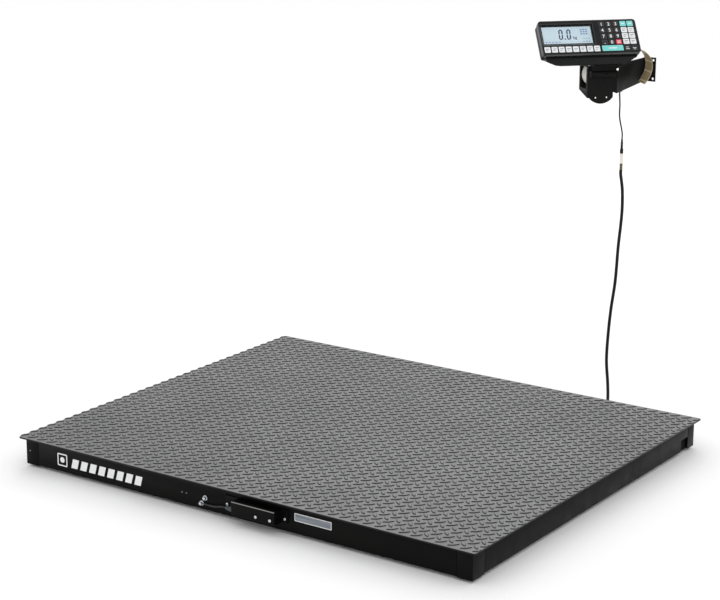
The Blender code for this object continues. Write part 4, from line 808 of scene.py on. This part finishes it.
def braided_lead(line, radius):
    """Braid: radius times 0.88 + 0.12 |sin(2 (a + turns)) sin(2 (a - turns))| ^ 0.5, turns along it."""
    sides = 24
    run = np.concatenate([[0], np.cumsum(np.linalg.norm(np.diff(line, axis=0), axis=1))])
    turns = (2 * np.pi * run / BRAID_PITCH)[:, None] / 4
    angle = np.linspace(0, 2 * np.pi, sides, endpoint=False)[None]
    weave = np.abs(np.sin(2 * (angle + turns)) * np.sin(2 * (angle - turns))) ** 0.5
    return tube_along(line, radius * (0.88 + 0.12 * weave), sides)


low, high = extent("earth_lead", PLATFORM, PLAIN)
BOLT_HEIGHT, GLAND_HEIGHT = 0.0215, 0.0310
lead_back, lead_front = high[1] - 1.8 * MM, low[1] + 1.8 * MM
earth_points = [(low[0], lead_back, BOLT_HEIGHT), (low[0] + 0.004, lead_back, BOLT_HEIGHT),
                (low[0] + 0.014, lead_back - 0.002, BOLT_HEIGHT + 0.0005),
                ((low[0] + high[0]) / 2, (lead_back + lead_front) / 2,
                 (BOLT_HEIGHT + GLAND_HEIGHT) / 2 - 0.0022),
                (high[0] - 0.014, lead_front + 0.002, GLAND_HEIGHT - 0.0020),
                (high[0] - 0.004, lead_front, GLAND_HEIGHT), (high[0], lead_front, GLAND_HEIGHT)]
piece("earth_lead_braid", braided_lead(smooth_route(earth_points, 0.5 * MM), 1.8 * MM), braid, "platform",
      PLATFORM, stands_for=("earth_lead",))

low, high = extent("rating_plate", PLATFORM, PLAIN)
plate_size = (high - low)[[0, 2]]
plate_middle = on_front((low[0] + high[0]) / 2, (low[2] + high[2]) / 2, FRONT - high[1])
piece("rating_plate_blank", pillow(*plate_size, 1.2 * MM, high[1] - low[1], 0.2 * MM), plate_metal,
      "platform", plate_middle, FRONT_AXES, ("rating_plate",))


def frame_band(width, height, corner, band, rise, base):
    """A flat band round a rounded rectangle: outer and inner outlines joined over top and bottom."""
    outer = rounded_outline(width, height, corner)
    inner = rounded_outline(width - 2 * band, height - 2 * band, max(corner - band, 0.2 * MM))
    return ring_solid([at_height(outer, base), at_height(outer, base + rise),
                       at_height(inner, base + rise), at_height(inner, base)])


piece("rating_plate_border", frame_band(plate_size[0] - 0.6 * MM, plate_size[1] - 0.6 * MM, 1.0 * MM,
                                        1.3 * MM, 0.12 * MM, high[1] - low[1] - 0.02 * MM),
      skirt_white, "platform", plate_middle, FRONT_AXES)


def slanted_bar(left, width, bottom, height, lean):
    """A thin parallelogram mark: its top is shifted right by its lean."""
    outline = np.array([(left, bottom), (left + width, bottom), (left + width + lean, bottom + height),
                        (left + lean, bottom + height)])
    return loft([at_height(outline, 0.0), at_height(outline, 0.12 * MM)])


MARK_LIFT = 0.02 * MM
STRIPE_COUNT = 8
FIRST_STRIPE = -453.5 * MM
STRIPE_PITCH = 26.2 * MM
STRIPE_WIDTH = 18.0 * MM
STRIPE_FOOT = 22.5 * MM
STRIPE_HEIGHT = 21.5 * MM
STRIPE_LEAN = 6.0 * MM
BADGE_WIDTH = 29.0 * MM
BADGE_BAND = 2.8 * MM
DOT_WIDTH = 13.0 * MM
DOT_CORNER = 6.49 * MM    # a hair under half its width, which makes it round
mark = [slanted_bar(FIRST_STRIPE + k * STRIPE_PITCH, STRIPE_WIDTH, STRIPE_FOOT, STRIPE_HEIGHT, STRIPE_LEAN)
        for k in range(STRIPE_COUNT)]
piece("skirt_stripes", together(mark), skirt_white, "platform", on_front(0, 0, MARK_LIFT), FRONT_AXES)
badge = frame_band(BADGE_WIDTH, BADGE_WIDTH, 3.0 * MM, BADGE_BAND, 0.12 * MM, 0.0)
dot = loft([at_height(rounded_outline(DOT_WIDTH, DOT_WIDTH, DOT_CORNER), lift) for lift in (0.0, 0.12 * MM)])
piece("skirt_badge", together([badge, dot]), skirt_white, "platform",
      on_front(-0.4795, 0.0355, MARK_LIFT), FRONT_AXES)
rivet = turned([(1.9 * MM, 0), (1.9 * MM, 0.15 * MM), (1.5 * MM, 0.6 * MM), (0.7 * MM, 0.85 * MM)], 20)
piece("skirt_rivets", together([(rivet[0] + (x, z, 0), rivet[1]) for x, z in
                                ((-0.136, 0.034), (-0.124, 0.034), (-0.577, 0.038))]),
      plate_metal, "platform", on_front(0, 0, 0.01 * MM), FRONT_AXES)
eased("home_run_sheath", "home_run_cable", sheath, "platform", 0.01 * MM, 1, 80)


# ---- bracket, roll and hinge --------------------------------------------------------------------
eased("bracket_sheet", "wall_bracket", bracket_coat, "platform", 0.6 * MM)
eased("housing_sheet", "roll_housing", bracket_coat, "platform", 0.5 * MM)
eased("cradle_sheet", "tilt_cradle", bracket_coat, "terminal", 0.5 * MM)
eased("clip_block", "lead_clip", nylon, "platform", 0.6 * MM)
for node in ("hinge_pin", "roll_spindle"):
    eased(node + "_bar", node, zinc, "platform", 0.3 * MM)
low, high = extent("hinge_screw", HEAD, HEAD_AXES)
HEAD_FRONT_AXES = np.array([HEAD_RIGHT, (0, 0, 1.0), -HEAD_BACK])
piece("hinge_screw_head", button_screw((high[0] - low[0]) / 2, high[1] - low[1]), bracket_coat,
      "terminal", HEAD + ((low[0] + high[0]) / 2, high[1], (low[2] + high[2]) / 2) @ HEAD_AXES,
      HEAD_FRONT_AXES, ("hinge_screw",))

roll_low, roll_high = extent("label_roll", HEAD, HEAD_AXES)
core_low, core_high = extent("roll_core", HEAD, HEAD_AXES)
ROLL_RADIUS = (roll_high[0] - roll_low[0]) / 2
CORE_RADIUS = (core_high[0] - core_low[0]) / 2
ROLL_AXES = np.array([HEAD_RIGHT, (0, 0, -1.0), HEAD_BACK])
roll_middle = (roll_low + roll_high) / 2
roll_place = HEAD + (roll_middle[0], roll_low[1], roll_middle[2]) @ HEAD_AXES
ROLL_WIDTH = roll_high[1] - roll_low[1]


def wound_roll():
    """Wound labels: a ring body whose outer radius steps up by a label's thickness over each label,
    38 mm long with 3 mm between, and whose ends are drawn in near both rims by the liner's margin.
    """
    sides = 96
    angle = np.linspace(0, 2 * np.pi, sides, endpoint=False)
    labelled = (angle * ROLL_RADIUS) % 0.041 < 0.038
    thick = np.where(labelled, 0.0, -0.25 * MM)
    inner = CORE_RADIUS + 0.3 * MM
    layers = [(inner, 0.0, 0)] + [(inner + (ROLL_RADIUS - inner) * k / 6, (k % 2) * 0.15 * MM, 0)
                                  for k in range(1, 6)]
    rim = [(ROLL_RADIUS - 0.45 * MM, 0.0, 0), (ROLL_RADIUS - 0.45 * MM, 1.0 * MM, 0),
           (ROLL_RADIUS, 1.1 * MM, 1), (ROLL_RADIUS, ROLL_WIDTH - 1.1 * MM, 1),
           (ROLL_RADIUS - 0.45 * MM, ROLL_WIDTH - 1.0 * MM, 0), (ROLL_RADIUS - 0.45 * MM, ROLL_WIDTH, 0)]
    far = [(radius, ROLL_WIDTH - height, 0) for radius, height, _ in layers[::-1]]
    rings = []
    for radius, height, stepped in layers + rim + far:
        reach = radius + thick * stepped
        rings.append(at_height(reach[:, None] * np.stack([np.cos(angle), np.sin(angle)], axis=1), height))
    return ring_solid(rings)


piece("label_roll_wound", wound_roll(), paper, "label_roll", roll_place, ROLL_AXES, ("label_roll",),
      sharp=30)
for material_slot in frame["nodes"]["roll_core"].material_slots:
    material_slot.material = card


# ---- terminal -----------------------------------------------------------------------------------
eased("terminal_shell_back", "terminal_base", abs_case, "terminal", 1.6 * MM, 3)
eased("terminal_shell_front", "terminal_cover", abs_rim, "terminal", 2.0 * MM, 4, 60)
eased("display_pane", "display_window", window, "terminal", 0.3 * MM, 1)
eased("lcd_cell", "lcd_module", lcd, "terminal", 0.2 * MM, 1)
eased("logic_board", "main_board", board, "terminal", 0.1 * MM, 1)
eased("print_mechanism", "printer_unit", nylon, "terminal", 0.4 * MM)
eased("platen_rubber", "platen_roller", rubber, "platen", 0.3 * MM)
eased("overlay_film", "keypad_film", overlay, "terminal", 0.1 * MM, 1)


def on_face(parts, name, material, lift=0.02 * MM):
    """Shapes drawn on the overlay's front, joined as one piece of the terminal."""
    return piece(name, together(parts), material, "terminal", FACE + lift * FACE_OUT, FACE_AXES)


def key(left, right, top, bottom, rise=0.35 * MM):
    """A key dome between four edges given in millimetres right of and below the face's middle."""
    return pillow((right - left) * MM, (bottom - top) * MM, 1.6 * MM, rise, 0.7 * MM,
                  ((left + right) / 2 * MM, -(top + bottom) / 2 * MM))


def bar(x, y, width, height, base=0.36 * MM, corner=0.3):
    """A small flat mark centred at x right of and y below the middle, in millimetres."""
    outline = rounded_outline(width * MM, height * MM, min(corner, height / 2.05, width / 2.05) * MM,
                              (x * MM, -y * MM), 2)
    return loft([at_height(outline, base - 0.05 * MM), at_height(outline, base + 0.04 * MM)])


bezel = frame_band(0.1300, 0.0585, 0.0035, 0.0027, 0.06 * MM, 0.0)
FUNCTION_ROW = [(-112.4 + 16.8 * i, -98.4 + 16.8 * i, 23.8, 38.3) for i in range(8)]
WHITE_KEYS = FUNCTION_ROW + [(left, left + 14.3, top, top + 13.4)
                             for left in (78.0, 94.6) for top in (-21.9, -6.9, 8.2)]
on_face([key(*edges) for edges in WHITE_KEYS], "keys_white", white_ink)
on_face([key(24.4, 75.0, 24.0, 38.0), key(78.0, 92.3, -38.0, -24.6), key(94.6, 109.0, -38.0, -24.6)],
        "keys_turquoise", turquoise_ink)
on_face([key(60.8, 74.0, 9.4, 21.6)], "key_red", red_ink)
PAD_X, PAD_Y = (33.5, 50.6, 67.4), (-31.4, -15.6, 0.2, 15.6)
pad = [(x, y) for y in PAD_Y for x in PAD_X if (x, y) != (PAD_X[2], PAD_Y[3])]
on_face([key(x - 7.0, x + 7.0, y - 6.4, y + 6.4, 0.25 * MM) for x, y in pad], "keys_dark", dark_ink)
on_face([key(78.0, 92.3, 25.4, 38.2, 0.25 * MM), key(94.6, 109.0, 25.4, 38.2, 0.25 * MM)],
        "keys_grey", dark_ink)


def digit_shape(character, size):
    """The outline of a digit or a unit, extruded, as points and faces, centred on its own box."""
    text = bpy.data.curves.new("digit", "FONT")
    text.body = character
    text.size = size
    text.extrude = 0.05 * MM
    text.offset = size * 0.012
    text.resolution_u = 3
    text.align_x = "CENTER"
    holder = bpy.data.objects.new("digit", text)
    mesh = bpy.data.meshes.new_from_object(holder)
    points = np.zeros(3 * len(mesh.vertices))
    mesh.vertices.foreach_get("co", points)
    points = points.reshape(-1, 3)
    points[:, :2] -= (points[:, :2].min(0) + points[:, :2].max(0)) / 2
    faces = [list(polygon.vertices) for polygon in mesh.polygons]
    bpy.data.objects.remove(holder)
    bpy.data.curves.remove(text)
    bpy.data.meshes.remove(mesh)
    return points, faces


digits = []
for character, (x, y) in zip("1234567890", pad[:9] + [pad[10]]):
    points, faces = digit_shape(character, 11.5 * MM)
    digits.append((points + (x * MM, -y * MM, 0.28 * MM), faces))
digits.append(bar(pad[9][0], pad[9][1] + 3.2, 2.0, 2.0, 0.28 * MM, 1.0))
on_face(digits, "key_digits", legend_white)
marks = [bar((left + right) / 2, (top + bottom) / 2 - 1.8, 8.0, 1.5)
         for left, right, top, bottom in WHITE_KEYS]
marks += [bar((left + right) / 2 - 1.6, (top + bottom) / 2 + 2.2, 4.8, 1.3)
          for left, right, top, bottom in WHITE_KEYS]
on_face(marks, "key_marks_grey", legend_grey)
on_face([bar(49.7, 31.0, 20.0, 2.4), bar(85.1, -31.3, 7.0, 2.0), bar(101.8, -31.3, 7.0, 2.0),
         bar(67.4, 13.6, 7.6, 1.6), bar(67.4, 17.2, 7.6, 1.6),
         bar(85.1, 29.6, 6.4, 1.2, 0.28 * MM), bar(85.1, 34.0, 8.4, 1.2, 0.28 * MM),
         bar(101.8, 31.8, 8.4, 1.2, 0.28 * MM), bar(101.8, 35.0, 4.4, 1.2, 0.28 * MM)],
        "key_marks_white", legend_white)

lcd_low, lcd_high = extent("lcd_module", FACE, FACE_AXES)
LCD_FRONT = lcd_high[2]


def segment_digit(left, right, top, bottom, stroke, lean=0.06):
    """A seven-segment nought from six bars, each a hexagon, leaning right by a share of its height."""
    parts = []
    middle = (top + bottom) / 2
    inset = stroke * 0.55
    upright = [(x, y0, y1) for x in (left + stroke / 2, right - stroke / 2)
               for y0, y1 in ((top + inset, middle - 0.15), (middle + 0.15, bottom - inset))]
    for x, y0, y1 in upright:
        parts.append([(x, y0), (x + stroke / 2, y0 + stroke / 2), (x + stroke / 2, y1 - stroke / 2), (x, y1),
                      (x - stroke / 2, y1 - stroke / 2), (x - stroke / 2, y0 + stroke / 2)])
    for y in (top + stroke / 2, bottom - stroke / 2):
        x0, x1 = left + inset, right - inset
        parts.append([(x0, y), (x0 + stroke / 2, y - stroke / 2), (x1 - stroke / 2, y - stroke / 2), (x1, y),
                      (x1 - stroke / 2, y + stroke / 2), (x0 + stroke / 2, y + stroke / 2)])
    shapes = []
    for outline in parts:
        flat = np.array(outline)
        flat = np.column_stack([flat[:, 0] - (flat[:, 1] - middle) * lean, -flat[:, 1]]) * MM
        shapes.append(loft([at_height(flat[::-1], LCD_FRONT + lift) for lift in (-0.02 * MM, 0.05 * MM)]))
    return shapes


def on_lcd(x, y, width, height):
    """A small bar just over the LCD's front, in millimetres right of and below the face's middle."""
    return bar(x, y, width, height, LCD_FRONT)


reading = segment_digit(-71.4, -61.4, -22.0, 4.4, 3.1) + segment_digit(-52.6, -42.6, -22.0, 4.4, 3.1)
reading += [on_lcd(-57.6, 2.8, 3.2, 3.2)]
points, faces = digit_shape("kg", 10.5 * MM)
reading.append((points + (-33.8 * MM, -0.2 * MM, LCD_FRONT), faces))
piece("lcd_reading", together(reading), lcd_dark, "terminal", FACE, FACE_AXES)
icons = [on_lcd(-17 + 6.2 * i, -20.5 + 5.4 * j, 4.6, 3.6) for i in range(3) for j in range(3)]
icons += [on_lcd(-13 + 6.0 * i, 2.0, 3.6, 1.8) for i in range(3)]
icons += [on_lcd(-104.0 + 8.0 * i, 10.2, 5.6, 1.8) for i in range(5)]
icons += [on_lcd(-14.0 + 6.5 * i, 9.8, 4.2, 2.0) for i in range(3)]
piece("lcd_icons", together(icons), lcd_faint, "terminal", FACE, FACE_AXES)
lcd_rim = frame_band(*(lcd_high - lcd_low)[:2], 0.8 * MM, 2.4 * MM, 0.12 * MM, -0.02 * MM)
lcd_middle = FACE + np.array([*((lcd_low + lcd_high) / 2)[:2], LCD_FRONT]) @ FACE_AXES
piece("lcd_frame_ink", lcd_rim, bezel_ink, "terminal", lcd_middle, FACE_AXES)
piece("bezel_print", bezel, bezel_ink, "terminal", FACE + np.array([-0.0515, 0.0070, 0.02 * MM]) @ FACE_AXES,
      FACE_AXES)


# ---- label strip --------------------------------------------------------------------------------
strip_low, strip_high = extent("label_strip", HEAD, HEAD_AXES)
STRIP_WIDTH = strip_high[1] - strip_low[1]
STRIP_SHEET = 0.36 * MM
strip_points = [(0.0255, 0.0, 0.0585), (0.0385, 0.0, 0.0582), (0.0500, 0.0, 0.0545), (0.0660, 0.0, 0.0460),
                (0.0780, 0.0, 0.0340), (0.0840, 0.0, 0.0180), (0.0840, 0.0, 0.0040), (0.0795, 0.0, -0.0100),
                (0.0725, 0.0, -0.0220), (0.0670, 0.0, -0.0285)]


def curled_strip():
    """The strip: its centre line carried across its width, given a sheet's thickness on both sides,
    with its free end cut square. U is the length run and V the share across.
    """
    line = smooth_route(strip_points, 1.5 * MM)
    across = np.linspace(0, 1, 9)
    along = np.gradient(line, axis=0)
    along /= np.linalg.norm(along, axis=1)[:, None]
    out = np.stack([-along[:, 2], np.zeros(len(line)), along[:, 0]], axis=1) * STRIP_SHEET / 2
    middle = line[:, None] + across[None, :, None] * np.array([0, STRIP_WIDTH, 0])
    outer, inner = middle + out[:, None], middle - out[:, None]
    rings = np.concatenate([outer, inner[:, ::-1]], axis=1)
    run = np.concatenate([[0], np.cumsum(np.linalg.norm(np.diff(line, axis=0), axis=1))])
    share = np.concatenate([across, across[::-1]])
    return loft(rings), np.repeat(run, len(share)), np.tile(share, len(line))


strip_shape, strip_run, strip_share = curled_strip()
strip = piece("label_strip_liner", strip_shape, liner, "terminal",
              HEAD + np.array([0, strip_low[1], 0]) @ HEAD_AXES, HEAD_AXES, ("label_strip",))
uv = strip.data.uv_layers.new(name="run and share")
corner_of = np.zeros(len(strip.data.loops), int)
strip.data.loops.foreach_get("vertex_index", corner_of)
uv.data.foreach_set("uv", np.stack([strip_run[corner_of], strip_share[corner_of]], axis=1).ravel())


# ---- stage and light ----------------------------------------------------------------------------
def flat_sheet(name, width, depth, centre):
    """A level rectangle about a centre."""
    corners = np.array([(-1, -1, 0), (1, -1, 0), (1, 1, 0), (-1, 1, 0)]) * (width / 2, depth / 2, 1)
    mesh = bpy.data.meshes.new(name)
    mesh.from_pydata((corners + centre).tolist(), [], [[0, 1, 2, 3]])
    made = bpy.data.objects.new(name, mesh)
    bpy.context.scene.collection.objects.link(made)
    return made


floor = flat_sheet("studio_floor", 60, 60, (0, 0, 0))
floor_paint, *_ = started("pale_studio_floor", 0xFFFFFF, 0.9)
floor.data.materials.append(floor_paint)

sky = bpy.data.worlds.new("studio")
sky.use_nodes = True
sky.node_tree.nodes["Background"].inputs["Color"].default_value = (1.0, 1.0, 1.0, 1.0)
sky.node_tree.nodes["Background"].inputs["Strength"].default_value = 1.0
bpy.context.scene.world = sky


def soft_box(name, stand, aim, width, height, power):
    """A rectangular studio light at a place, turned to an aim."""
    lamp = bpy.data.lights.new(name, "AREA")
    lamp.shape = "RECTANGLE"
    lamp.size = width
    lamp.size_y = height
    lamp.energy = power
    made = bpy.data.objects.new(name, lamp)
    bpy.context.scene.collection.objects.link(made)
    towards = Vector(aim) - Vector(stand)
    made.matrix_world = Matrix.Translation(stand) @ towards.to_track_quat("-Z", "Y").to_matrix().to_4x4()


soft_box("overhead_soft_box", (-1.9, 3.6, 2.5), (-0.1, 0.3, 0.0), 3.0, 1.6, 30)
soft_box("front_fill", (2.6, -3.2, 2.4), (0.1, 0.0, 0.3), 1.6, 1.2, 3)
bpy.context.scene.view_settings.view_transform = "Standard"
bpy.context.scene.view_settings.look = "None"
